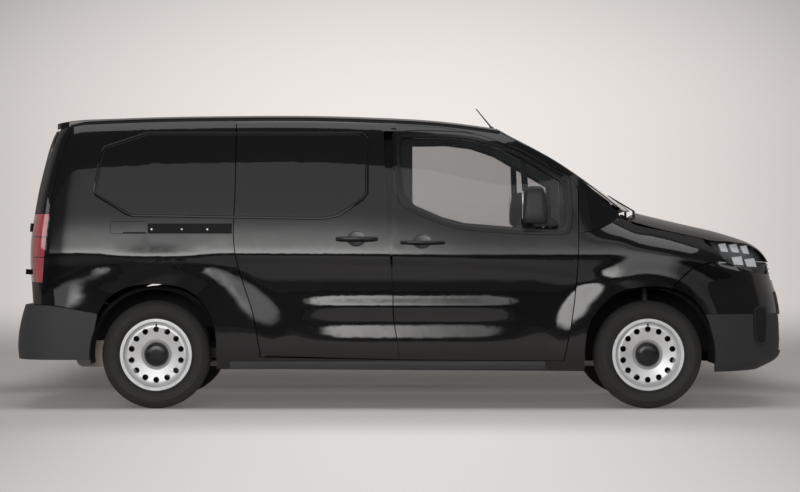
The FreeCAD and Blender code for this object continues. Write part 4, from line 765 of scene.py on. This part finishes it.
def struck(nodes, start, direction, spread=0.008):
    """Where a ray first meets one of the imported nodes, tried again close by where it falls in a gap."""
    ways = ((0, 0, 0), (1, 0, 0), (-1, 0, 0), (0, 0, 1), (0, 0, -1), (0, 1, 0), (0, -1, 0))
    across = [Vector(way) for way in ways]
    for ring in (0, 1, 2, 4):
        best = None
        for step in across:
            for node in nodes:
                begin = start + step * spread * ring
                hit, place = frame["nodes"][node].ray_cast(begin, direction)[:2]
                if hit and (best is None or (place - begin).length < best):
                    best = (place - begin).length
        if best is not None:
            return start + direction * best
    raise RuntimeError(f"no surface under {tuple(start)}")


def skin(x, z, lift=0.0, nodes=side_nodes):
    """A point on the right side's outside, at a place in metres seen from the side, raised by lift."""
    return struck(nodes, Vector((x, side_start, z)), Vector((0, 1, 0))) + Vector((0, -lift, 0))


def crown(x, y, lift=0.0, nodes=top_nodes):
    """A point on the van's top, raised by lift."""
    return struck(nodes, Vector((x, y, top_start)), Vector((0, 0, -1))) + Vector((0, 0, lift))


def on_side(pairs, lift=0.0, per=4, loop=False, nodes=side_nodes):
    """A smooth line on the right side through places in millimetres."""
    return [skin(p.x, p.z, lift, nodes) for p in smooth_line(side_points(pairs, 0), per, loop)]


def laid(pairs, lift=0.0):
    """Points on the right side at places in millimetres."""
    return [skin(x / 1000, z / 1000, lift) for x, z in pairs]


def oval(x, z, wide, high, lift, nodes, count=22):
    """A closed oval line on the right side."""
    turns = [math.tau * i / count for i in range(count)]
    return [skin(x + wide / 2 * math.cos(t), z + high / 2 * math.sin(t), lift, nodes) for t in turns]


def span(node):
    """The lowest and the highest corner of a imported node."""
    corners = [Vector(corner) for corner in frame["nodes"][node].bound_box]
    return [Vector([pick(c[i] for c in corners) for i in range(3)]) for pick in (min, max)]


def on_nose(y, z, lift, nodes):
    """A point on the van's front, at a place seen from the front, raised by lift."""
    return struck(nodes, Vector((front_start, y, z)), Vector((-1, 0, 0))) + Vector((lift, 0, 0))


def grown(pairs, distance):
    """A closed line moved outwards by a distance, in the same unit."""
    count = len(pairs)
    area = sum(pairs[i - 1][0] * pairs[i][1] - pairs[i][0] * pairs[i - 1][1] for i in range(count))
    turn = -1 if area > 0 else 1
    out = []
    for i in range(count):
        before, after = Vector(pairs[i - 1]), Vector(pairs[(i + 1) % count])
        here = Vector(pairs[i])
        first = (here - before).normalized()
        second = (after - here).normalized()
        normal = Vector((-(first + second).y, (first + second).x)).normalized() * turn
        out.append(tuple(here + normal * distance / max(normal.dot(Vector((-first.y, first.x)) * turn), 0.5)))
    return out


def walled(name, lines, thickness, loop=False):
    """A sheet through lines with as many points each, given a wall towards its inside."""
    rims = [traced(f"{name}_{i}", line, loop) for i, line in enumerate(lines)]
    obj = rims[0]
    for rim in rims[1:]:
        obj = joined(name, [obj, rim])
    with edited(obj):
        bpy.ops.mesh.bridge_edge_loops()
    with edited(obj):
        bpy.ops.mesh.normals_make_consistent(inside=False)
    return settle(modified(obj, "SOLIDIFY", thickness=thickness, offset=0.0))


def turned(obj, angle, axis, pivot):
    """Turns a finished object about a point."""
    only(obj)
    obj.matrix_world = (Matrix.Translation(pivot) @ Matrix.Rotation(math.radians(angle), 4, axis)
                        @ Matrix.Translation(-Vector(pivot)))
    return rest(obj)


def softbox(name, place, turn, size, power):
    """A rectangular studio light, its turn in degrees."""
    clear_selection()
    bpy.ops.object.light_add(type="AREA", location=place, rotation=[math.radians(angle) for angle in turn])
    lamp = bpy.context.view_layer.objects.active
    lamp.name = name
    lamp.data.shape = "RECTANGLE"
    lamp.data.size, lamp.data.size_y = size
    lamp.data.energy = power


# Operators

class Step:
    """What the operators share: each builds its pieces and reports that it has finished."""
    bl_options = {"REGISTER", "UNDO"}

    def execute(self, context):
        self.build(context)
        return {"FINISHED"}


class VAN_OT_finishes(Step, bpy.types.Operator):
    """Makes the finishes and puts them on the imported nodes."""
    bl_idname = "van.finishes"
    bl_label = "Finishes"

    def build(self, context):
        make_finishes()
        looks = {
            "paint": "paint", "glass": "glass", "clear_lens": "lens", "red_lens": "tail",
            "dark_plastic": "dark", "grained_plastic": "grained", "wheel_silver": "silver", "tyre": "rubber",
            "cast_iron": "iron", "black_steel": "steel", "exhaust_steel": "pipe", "seat_cloth": "cloth",
        }
        slots = {part["node"]: part["material_slot"] for part in frame["record"]["subparts"]}
        own = {
            "front_bumper": "bumper", "windscreen": "screen", "front_frame": "lining_black",
            "floor": "lining_black", "grille": "lining_black", "lower_intake": "lining_black",
        }
        for node, obj in frame["nodes"].items():
            finish = own.get(node, looks[slots[node]])
            for place in obj.material_slots:
                place.material = finishes[finish]


class VAN_OT_tyres(Step, bpy.types.Operator):
    """Models the tyres, with rings on the walls and a grooved tread."""
    bl_idname = "van.tyres"
    bl_label = "Tyres"

    def build(self, context):
        sizes = context.scene.van_wheel
        out = sizes.tyre_radius
        half = sizes.tyre_width / 2
        bead = sizes.bead_radius
        right = [(bead + up, across) for up, across in tyre_bead]
        right += [(bead + up, half - inward) for up, inward in tyre_wall]
        right += [(out - down, half - inward) for down, inward in tyre_shoulder]
        for middle in tread_groove_places:
            right += [(out - down, middle + across) for down, across in tread_groove]
        left = [(radius, -across) for radius, across in right[::-1]]
        for place, axle in axles.items():
            for side, sign in sides.items():
                centre = (axle, sign * tracks[place] / 2, out)
                steps = context.scene.van_stage.steps
                tyre = lathed(f"tyre_piece_{place}_{side}", right + left, centre, steps)
                fitted(tyre, "rubber", f"wheel_{place}_{side}", 28)
                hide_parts(f"tyre_{place}_{side}")


class VAN_OT_wheels(Step, bpy.types.Operator):
    """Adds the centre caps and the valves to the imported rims."""
    bl_idname = "van.wheels"
    bl_label = "Wheels"

    def build(self, context):
        sizes = context.scene.van_wheel
        for place, axle in axles.items():
            for side, sign in sides.items():
                y = sign * (tracks[place] / 2 + sizes.disc_outset)
                centre = (axle, y, sizes.tyre_radius)
                body = f"wheel_{place}_{side}"
                profile = [(radius, sign * across) for radius, across in wheel_cap]
                cap = lathed(f"wheel_cap_{place}_{side}", profile, centre, 64)
                fitted(cap, "satin", body, 30)
                foot = Vector(centre) + Vector((0, sign * valve_foot[0], valve_foot[1]))
                tip = foot + Vector((0, sign * valve_reach[0], valve_reach[1]))
                fitted(tube(f"valve_{place}_{side}", [foot, tip], valve_radius), "rubber", body, 30)


class VAN_OT_windows(Step, bpy.types.Operator):
    """Models the seals round the front doors' windows, their dividers and the windscreen's border."""
    bl_idname = "van.windows"
    bl_label = "Windows"

    def build(self, context):
        nodes = ("front_door_right", "side_frame_right", "sliding_door_right")
        wide, near = (on_side(grown(window_line, d), seal_lift, 5, True, nodes) for d in seal_distances)
        sheet_pair("window_seal", [wide, near], seal_wall, "satin", front_door_body, True)
        line = on_side(grown(window_line, window_rim_distance), -0.8 * millimetre, 5, True, nodes)
        bar_pair("window_rim", line, window_rim_radius, "paint", front_door_body, True)
        top, foot = (skin(x, z, millimetre, nodes) for x, z in divider_ends)
        strips = [[p + Vector((dx, 0, 0)) for p in (top, top.lerp(foot, 0.5), foot)]
                  for dx in (-divider_half_width, divider_half_width)]
        sheet_pair("window_divider", strips, seal_wall, "satin", front_door_body)
        nodes = ("windscreen",)
        lines = [smooth_line([crown(x, y + width, screen_lift, nodes) for x, y in screen_edge_line], 5)
                 for width in (0, screen_border_width)]
        sheet_pair("screen_border", lines, thin_wall, "satin")
        lines = [[crown(x, y, screen_lift, nodes) for y in screen_header_y] for x in screen_header_x]
        fitted(walled("screen_header", lines, thin_wall), "satin", shell)


class VAN_OT_roof_trims(Step, bpy.types.Operator):
    """Models the black strips along the roof's edges and down the windscreen pillars."""
    bl_idname = "van.roof_trims"
    bl_label = "Roof trims"

    def build(self, context):
        bar_pair("roof_strip", [crown(x, roof_strip_y) for x in roof_strip_x], strip_radius, "satin")
        line = smooth_line([crown(x, y, 2 * millimetre) for x, y in pillar_line])
        bar_pair("pillar_strip", line, strip_radius, "satin")


class VAN_OT_pillar_caps(Step, bpy.types.Operator):
    """Models the small body-coloured covers at the tops of the middle pillars."""
    bl_idname = "van.pillar_caps"
    bl_label = "Pillar caps"

    def build(self, context):
        nodes = ("sliding_door_right", "front_door_right", "side_frame_right")
        rows = []
        for z in pillar_cap_z:
            rear, front = (skin(x, z, 0.4 * millimetre, nodes) for x in pillar_cap_x)
            rows.append([rear.lerp(front, i / 4) for i in range(5)])
        sheet_pair("pillar_cap", rows, thin_wall, "paint")


class VAN_OT_side_lines(Step, bpy.types.Operator):
    """Models the rolled rims of the blank windows and the slide rails with their rivets and covers."""
    bl_idname = "van.side_lines"
    bl_label = "Side lines"

    def build(self, context):
        self.recess_rims()
        self.slide_rails()
        self.rail_covers()

    def recess_rims(self):
        """The raised rims of the blank windows, and inside them dark lines of painted shade for their steps.
        """
        rim = grown(recess_line, recess_rim_distance)
        for name, part in (("front", rim[:6]), ("rear", rim[5:13]), ("top", [rim[11], rim[12], rim[0]])):
            part = [Vector(p) for p in part]
            points = []
            for first, second in zip(part, part[1:]):
                steps = max(int((second - first).length / recess_rim_pitch), 1)
                points += [first.lerp(second, i / steps) for i in range(steps)]
            points.append(part[-1])
            bar_pair(f"recess_rim_{name}", laid(points, -1.6 * millimetre), recess_rim_radius, "paint")
            # painted shade: a satin black line laid on the paint inside the rim stands for the shaded step
            inside = [p + (Vector(recess_middle) - p) * recess_pull for p in points]
            bar_pair(f"recess_step_{name}", laid(inside, 0.1 * millimetre), recess_shade_radius, "satin")

    def slide_rails(self):
        """The rails' floors, their beads and their rivets."""
        lines = [[skin(x, z, 1.2 * millimetre) for x in rail_x] for z in rail_z]
        both(walled("slide_rail", lines, rail_wall), "slide_rail", "lining_black", slot="black_steel")
        for name, z in rail_edge_z.items():
            line = [skin(x, z, 0.6 * millimetre) for x in rail_x]
            bar_pair(f"rail_edge_{name}", line, rail_edge_radius, "paint")
        rivets = [tube("rivet", [foot, foot + Vector((0, -rivet_height, 0))], rivet_radius)
                  for foot in laid(rail_rivets, millimetre)]
        both(joined("rail_rivets", rivets), "rail_rivets", "silver")

    def rail_covers(self):
        """The seams and lips of the covers behind the rails."""
        cover = laid(rail_cover_line)
        line = []
        for first, second in zip(cover, cover[1:]):
            line += [skin(p.x, p.z) for p in (first.lerp(second, i / 6) for i in range(6))]
        line.append(cover[-1])
        bar_pair("rail_cover_seam", line, seam_radius, "satin")
        lip = [skin(x, rail_lip_z, 0.6 * millimetre) for x in rail_lip_x]
        bar_pair("rail_lip", lip, rail_lip_radius, "satin")


class VAN_OT_handles(Step, bpy.types.Operator):
    """Models the handles of the front and sliding doors, each a bar across a round cup whose dark dish is
    painted shade.
    """
    bl_idname = "van.handles"
    bl_label = "Handles"

    def build(self, context):
        for name, body, (x, z), (wide, high), (start, end), level, radius in handle_rows:
            nodes = (f"{name}_right",)
            # painted shade: the cup is a satin black dish laid on the door, dark in place of the recess's
            # shade
            rings = [oval(x, z, wide * share, high * share, lift, nodes) for share, lift in handle_cup_shade_rings]
            sheet_pair(f"{name}_cup", rings, thin_wall, "satin", body, True)
            line = []
            for i in range(13):
                share = i / 12
                lift = handle_root + handle_reach * math.sin(math.pi * share) ** 0.5
                line.append(skin(start + (end - start) * share, level, lift, nodes))
            both(tube(f"{name}_bar", line, radius, fineness=4), f"{name}_bar", "paint", body, 50)


class VAN_OT_mirrors(Step, bpy.types.Operator):
    """Models the door mirrors with their feet and glasses."""
    bl_idname = "van.mirrors"
    bl_label = "Mirrors"

    def build(self, context):
        housing = block("mirror_housing", mirror_low, mirror_high)
        with edited(housing):
            bpy.ops.mesh.subdivide(number_cuts=2)
        for vertex in housing.data.vertices:
            up = (vertex.co.z - mirror_low[2]) / (mirror_high[2] - mirror_low[2])
            for i, (middle, taper) in enumerate(zip(mirror_middle, mirror_taper)):
                vertex.co[i] = middle + (vertex.co[i] - middle) * (1 - taper * up * up)
        modified(housing, "SUBSURF", levels=2, render_levels=2)
        for piece in both(housing, "mirror_housing", "dark", front_door_body, 60):
            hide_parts("mirror_" + piece.name.split("_")[-1])
        outline = side_points(mirror_foot_line, mirror_foot_y)
        foot = plate("mirror_foot", outline, (0, mirror_foot_reach, 0))
        both(rounded(foot, 12 * millimetre, 3), "mirror_foot", "dark", front_door_body, 40)
        glass = block("mirror_glass", mirror_glass_low, mirror_glass_high)
        both(rounded(glass, 1.2 * millimetre), "mirror_glass", "mirror", front_door_body, 40)


class VAN_OT_lamps(Step, bpy.types.Operator):
    """Models the headlamps' inner parts behind their lenses."""
    bl_idname = "van.lamps"
    bl_label = "Lamps"

    def build(self, context):
        nodes = ("headlamp_right",)
        rows = [[skin(x, z, -lamp_depth, nodes) for x in lamp_back_x] for z in lamp_back_z]
        sheet_pair("headlamp_housing", rows, liner_wall, "lamp_inside")
        blades = []
        for x, z, wide in lamp_blades:
            front = [skin(x + end * wide / 2 + dx, z + dz, -blade_depth, nodes)
                     for end, dx, dz in blade_corners]
            blades.append(rounded(plate("blade", front, (0, blade_wall, 0)), 1.5 * millimetre))
        # the reflectors carry painted light: they glow though the lamps are off
        both(joined("headlamp_reflectors", blades), "headlamp_reflectors", "lamp_blade")


class VAN_OT_grilles(Step, bpy.types.Operator):
    """Models the bars of the grille and of the lower intake, and the bumper's side vents."""
    bl_idname = "van.grilles"
    bl_label = "Grilles"

    def build(self, context):
        for node, rows, posts in grille_rows:
            low, high = span(node)
            side = high.y - grille_side_edge
            bars = []
            for i in range(rows):
                z = low.z + grille_bar_edge + (high.z - low.z - 2 * grille_bar_edge) * i / (rows - 1)
                line = [on_nose(side * (k / 8 - 1), z, millimetre, (node,)) for k in range(17)]
                bars.append(tube("bar", line, bar_radius))
            rise = (high.z - low.z - 2 * grille_side_edge) / 4
            heights = [low.z + grille_side_edge + rise * k for k in range(5)]
            for i in range(posts):
                y = side * (2 * i / (posts - 1) - 1)
                bars.append(tube("post", [on_nose(y, z, 0.0, (node,)) for z in heights], post_radius))
            fitted(joined(f"{node}_bars", bars), "satin", shell, 40)
        nodes = ("front_bumper",)
        rims = [on_side(grown(vent_line, distance), lift, 4, True, nodes)
                for distance, lift in vent_rims]
        sheet_pair("vent_rim", rims, thin_wall, "dark", shell, True)
        middle = Vector(vent_middle)
        loops = [[middle + (Vector(p) - middle) * share for p in vent_line] for share in vent_floor_shares]
        floors = [on_side(loop, 0.7 * millimetre, 4, True, nodes) for loop in loops]
        sheet_pair("vent_floor", floors, millimetre, "lining_black", shell, True)


class VAN_OT_sills(Step, bpy.types.Operator):
    """Models the grained strips along the sills."""
    bl_idname = "van.sills"
    bl_label = "Sills"

    def build(self, context):
        nodes = ("side_frame_right", "quarter_panel_right")
        lines = [[skin(x, z, lift, nodes) for x in sill_x] for z, lift in sill_rows]
        sheet_pair("sill_strip", lines, rail_wall, "grained")


class VAN_OT_arches(Step, bpy.types.Operator):
    """Models the black liners of the wheel arches."""
    bl_idname = "van.arches"
    bl_label = "Arch liners"

    def build(self, context):
        start = math.radians(liner_start)
        for place, (radius, deep) in arch_liners.items():
            axle = axles[place]
            x, z = axle + radius * math.cos(start), wheel_height + radius * math.sin(start)
            liner = traced("arch_liner", [(x, -liner_side, z), (x, -deep, z)])
            with edited(liner):
                bpy.ops.mesh.spin(steps=40, angle=math.radians(liner_turn),
                                  center=(axle, 0, wheel_height), axis=(0, 1, 0))
                bpy.ops.mesh.select_all(action="SELECT")
                bpy.ops.mesh.normals_make_consistent(inside=False)
            liner = settle(modified(liner, "SOLIDIFY", thickness=liner_wall, offset=0.0))
            both(liner, f"arch_liner_{place}", "lining_black")


class VAN_OT_cab(Step, bpy.types.Operator):
    """Models the cab's pale headliner, its door linings and its seats."""
    bl_idname = "van.cab"
    bl_label = "Cab"

    def build(self, context):
        nodes = ("roof_panel",)
        shares = [i / 4 for i in range(-4, 5)]
        rows = [[crown(x, share * headliner_half_width, -headliner_depth - headliner_sag * share ** 4, nodes)
                 for share in shares] for x in headliner_x]
        fitted(walled("headliner", rows, 4 * millimetre), "lining", shell)
        nodes = ("side_frame_right", "front_door_right", "roof_panel", "quarter_panel_right", "windscreen")
        rings = []
        for distance in lining_distances:
            flat = smooth_line(side_points(grown(window_line, distance), 0.0), 4, True)
            found = [struck(nodes, p, Vector((0, -1, 0))) for p in flat]
            rings.append([p + Vector((0, lining_lift, 0)) for p in found])
        sheet_pair("window_lining", rings, 2 * millimetre, "trim_grey", front_door_body, True)
        for side, sign in sides.items():
            self.seat(side, sign)

    def seat(self, side, sign):
        """One seat: its base, its cushion and its back."""
        low, high = sorted(sign * y for y in seat_sides)
        across = (low + seat_base_inset, high - seat_base_inset)
        base = block(f"seat_base_{side}", *zip(seat_base_x, across, seat_base_z))
        fitted(rounded(base, seat_edge), "dark", shell)
        across = (low + seat_edge, high - seat_edge)
        cushion = block(f"seat_cushion_{side}", *zip(cushion_x, across, cushion_z))
        back = block(f"seat_back_{side}", *zip(back_x, across, back_z))
        turned(back, back_lean, "Y", back_pivot)
        for pad in (cushion, back):
            puffed(pad)
            fitted(pad, "cloth", shell, 70)
            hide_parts("seats")
        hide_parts("seats")


def puffed(obj):
    with edited(obj):
        bpy.ops.mesh.bevel(offset=pad_edge, segments=3)
    modified(obj, "REMESH", mode="VOXEL", voxel_size=pad_grid)
    start = [v.co.copy() for v in obj.data.vertices]
    cloth = obj.modifiers.new("cloth", "CLOTH")
    cloth.settings.use_pressure = True
    cloth.settings.uniform_pressure_force = cloth_pressure
    cloth.settings.effector_weights.gravity = 0
    for step in range(1, cloth_frames):
        bpy.context.scene.frame_set(step)
    shape = obj.evaluated_get(bpy.context.evaluated_depsgraph_get()).data
    ends = [v.co.copy() for v in shape.vertices]
    obj.modifiers.remove(cloth)
    bpy.context.scene.frame_set(1)
    for vertex, first, last in zip(obj.data.vertices, start, ends):
        move = last - first
        vertex.co = first + move * min(1.0, pad_rise / max(move.length, 1e-6))
    return modified(obj, "SMOOTH", iterations=6)


class VAN_OT_tail(Step, bpy.types.Operator):
    """Models the blank plate and the filler flap's seam."""
    bl_idname = "van.tail"
    bl_label = "Tail"

    def build(self, context):
        nodes = ("rear_door_left",)
        lift = Vector((-2 * millimetre, 0, 0))
        rows = [[struck(nodes, Vector((rear_start, y, z)), Vector((1, 0, 0))) + lift
                 for y in blank_plate_y] for z in blank_plate_z]
        fitted(walled("blank_plate", rows, 2 * millimetre), "plate", "rear_door_left_body")
        line = on_side(filler_flap_line, 0.2 * millimetre, 6, True)
        right = tube("filler_flap", line, flap_seam_radius, True)
        fitted(other_side(right, "filler_flap_seam"), "satin", shell)
        bpy.data.objects.remove(right)


def seen_rays(look):
    """1 for what the camera sees straight, in a gloss or through glass."""
    camera, glossy, through = (look.read("ShaderNodeLightPath", key) for key in
                               ("Is Camera Ray", "Is Glossy Ray", "Is Transmission Ray"))
    return (camera + glossy + through).math("MINIMUM", 1.0)


def stage_sheet(name, place, size, turn=0):
    """A large flat piece of the stage."""
    clear_selection()
    bpy.ops.mesh.primitive_plane_add(size=1, location=place, rotation=(math.radians(turn), 0, 0))
    sheet = named(name)
    sheet.scale = (*size, 1)
    return rest(sheet)


def reflecting_card():
    """A glowing card far behind the camera, brightest low down, whose mirror image models the van's side."""
    card = stage_sheet("studio_card", (0, -21, 8.5), (46, 17), 90)
    look = Look("card_glow")
    x, _, z = look.place()
    low = z.smooth(1.6, 3.4)
    fall = 1 - z.smooth(4.2, 11.5) * 0.88
    ends = 1 - x.absolute().smooth(5.0, 10.0) * 0.80
    front = 1 - x.smooth(-1.0, 1.2) * 0.70 * (1 - z.smooth(9.0, 13.0))
    glow = look.node("ShaderNodeEmission", inputs={
        "Color": colour((1.0, 0.985, 0.97)), "Strength": low * fall * ends * front * 8.0})
    inner = look.read("ShaderNodeNewGeometry", "Backfacing")
    card.data.materials.append(look.output(look.blend(inner, look.node("ShaderNodeBsdfTransparent"), glow)))


def studio_floor(tone):
    """The pale floor, with a painted pool of light before the van, a painted shadow behind it, painted shade
    before the camera and a painted glow lifting the shade under the van; the van's own shadow is kept.
    """
    floor = stage_sheet("studio_floor", (0, -6, 0), (70, 46))
    look = Look("floor_finish")
    x, y, _ = look.place()
    # painted pool of light: the floor's colour darkens away from a spot before the van
    glow = (x * x * 0.035 + (y + 3.0) * (y + 3.0) * 0.012).math("MINIMUM", 1.0)
    grain = look.noise(1.5, 2.0)
    base = look.tint(glow, tone, deeper(tone, 0.62))
    # painted shadow: a dark patch on the floor behind the van
    painted_shadow = y.smooth(0.5, 1.2) * (1 - y.smooth(2.6, 6.0)) * (1 - x.absolute().smooth(2.0, 3.4))
    base = look.tint(painted_shadow * 0.88, base, deeper(tone, 0.30))
    # painted shade: the floor before the camera is nearly black, so that the van's lower body reflects it
    # dark
    base = look.tint(1 - y.smooth(-9.0, -6.6), base, deeper(tone, 0.06))
    plain = look.node("ShaderNodeBsdfPrincipled", inputs={
        "Base Color": base, "Roughness": 0.85 + grain * 0.05, "Specular IOR Level": 0.2})
    # painted pool of light: before the van the floor glows pale, brightest in the middle and dimmer to the
    # sides
    near = (1 - y.smooth(-3.5, -0.5)) * y.smooth(-9.0, -6.6)
    far = y.smooth(0.4, 3.0) * x.absolute().smooth(2.3, 3.0)
    # painted light: a weaker glow lifts the shadow under the van
    under = y.smooth(-1.6, -0.2) * (1 - y.smooth(0.9, 1.8)) * 0.38
    level = 0.34 + near * (0.46 - x * x * 0.075)
    pale = look.node("ShaderNodeEmission", inputs={
        "Color": look.tint(level, (0, 0, 0), (1.0, 0.955, 0.925)), "Strength": 1.0})
    share = seen_rays(look) * (near + far).math("MAXIMUM", under) * 0.85
    floor.data.materials.append(look.output(look.blend(share, plain, pale)))


def studio_backdrop():
    """The pale wall behind the van, with painted light that is brightest low in its middle and painted shade
    along its foot; clear when it is seen from behind.
    """
    wall = stage_sheet("studio_backdrop", (0, 6.9, 12), (70, 24), 90)
    look = Look("backdrop_finish")
    x, _, z = look.place()
    # painted light: the wall is brightest low in its middle and darker towards its sides and top
    high = (z - 2.0).math("MAXIMUM", 0.0)
    level = (0.87 - x * x * 0.021 - high * high * 0.10).math("MAXIMUM", 0.30)
    # painted shade along the foot of the wall, where it meets the floor
    level = level * (0.5 + z.smooth(0.0, 0.5) * 0.5)
    base = look.tint(level, (0, 0, 0), (1.0, 0.945, 0.91))
    glow = look.node("ShaderNodeEmission", inputs={"Color": base, "Strength": 1.0})
    plain = look.node("ShaderNodeBsdfDiffuse", inputs={"Color": base})
    behind = look.read("ShaderNodeNewGeometry", "Backfacing")
    front = look.blend(seen_rays(look), plain, glow)
    wall.data.materials.append(look.output(look.blend(behind, front, look.node("ShaderNodeBsdfTransparent"))))


class VAN_OT_stage(Step, bpy.types.Operator):
    """Sets the floor, the backdrop, the lights and the camera."""
    bl_idname = "van.stage"
    bl_label = "Stage"

    def build(self, context):
        stage = context.scene.van_stage
        studio_floor(context.scene.van_paint.backdrop)
        studio_backdrop()
        reflecting_card()
        for row in softboxes:
            softbox(*row)
        world = bpy.data.worlds.new("studio_air")
        context.scene.world = world
        world.use_nodes = True
        back = world.node_tree.nodes["Background"]
        back.inputs["Color"].default_value = colour(air_tone)
        back.inputs["Strength"].default_value = stage.ambient
        context.scene.view_settings.view_transform = "Standard"
        clear_selection()
        bpy.ops.object.camera_add(location=(stage.eye_x, -stage.distance, stage.eye_height),
                                  rotation=(math.radians(90), 0, 0))
        camera = context.view_layer.objects.active
        camera.name = "studio_camera"
        camera.data.lens = stage.lens
        camera.data.sensor_width = 36
        camera.data.clip_end = 200
        context.scene.camera = camera


class VAN_PT_panel(bpy.types.Panel):
    """Lists the steps that build the van."""
    bl_label = "Panel van"
    bl_idname = "VAN_PT_panel"
    bl_space_type = "VIEW_3D"
    bl_region_type = "UI"
    bl_category = "Panel van"

    def draw(self, context):
        for step in steps:
            self.layout.operator(step.bl_idname)


steps = (
    VAN_OT_finishes, VAN_OT_tyres, VAN_OT_wheels, VAN_OT_windows, VAN_OT_roof_trims, VAN_OT_pillar_caps,
    VAN_OT_side_lines, VAN_OT_handles, VAN_OT_mirrors, VAN_OT_lamps, VAN_OT_grilles, VAN_OT_sills,
    VAN_OT_arches, VAN_OT_cab, VAN_OT_tail, VAN_OT_stage,
)
settings = {"van_paint": PaintSettings, "van_wheel": WheelSettings, "van_stage": StageSettings}


def register():
    """Registers the settings, the operators and the panel."""
    for group in settings.values():
        bpy.utils.register_class(group)
    for name, group in settings.items():
        setattr(bpy.types.Scene, name, PointerProperty(type=group))
    for step in steps:
        bpy.utils.register_class(step)
    bpy.utils.register_class(VAN_PT_panel)


def unregister():
    """Takes the panel, the operators and the settings away again."""
    bpy.utils.unregister_class(VAN_PT_panel)
    for step in reversed(steps):
        bpy.utils.unregister_class(step)
    for name, group in settings.items():
        delattr(bpy.types.Scene, name)
        bpy.utils.unregister_class(group)


def main():
    """Builds the van."""
    register()
    for step in steps:
        group, name = step.bl_idname.split(".")
        getattr(getattr(bpy.ops, group), name)()
    clear_selection()


if __name__ == "__main__":
    main()
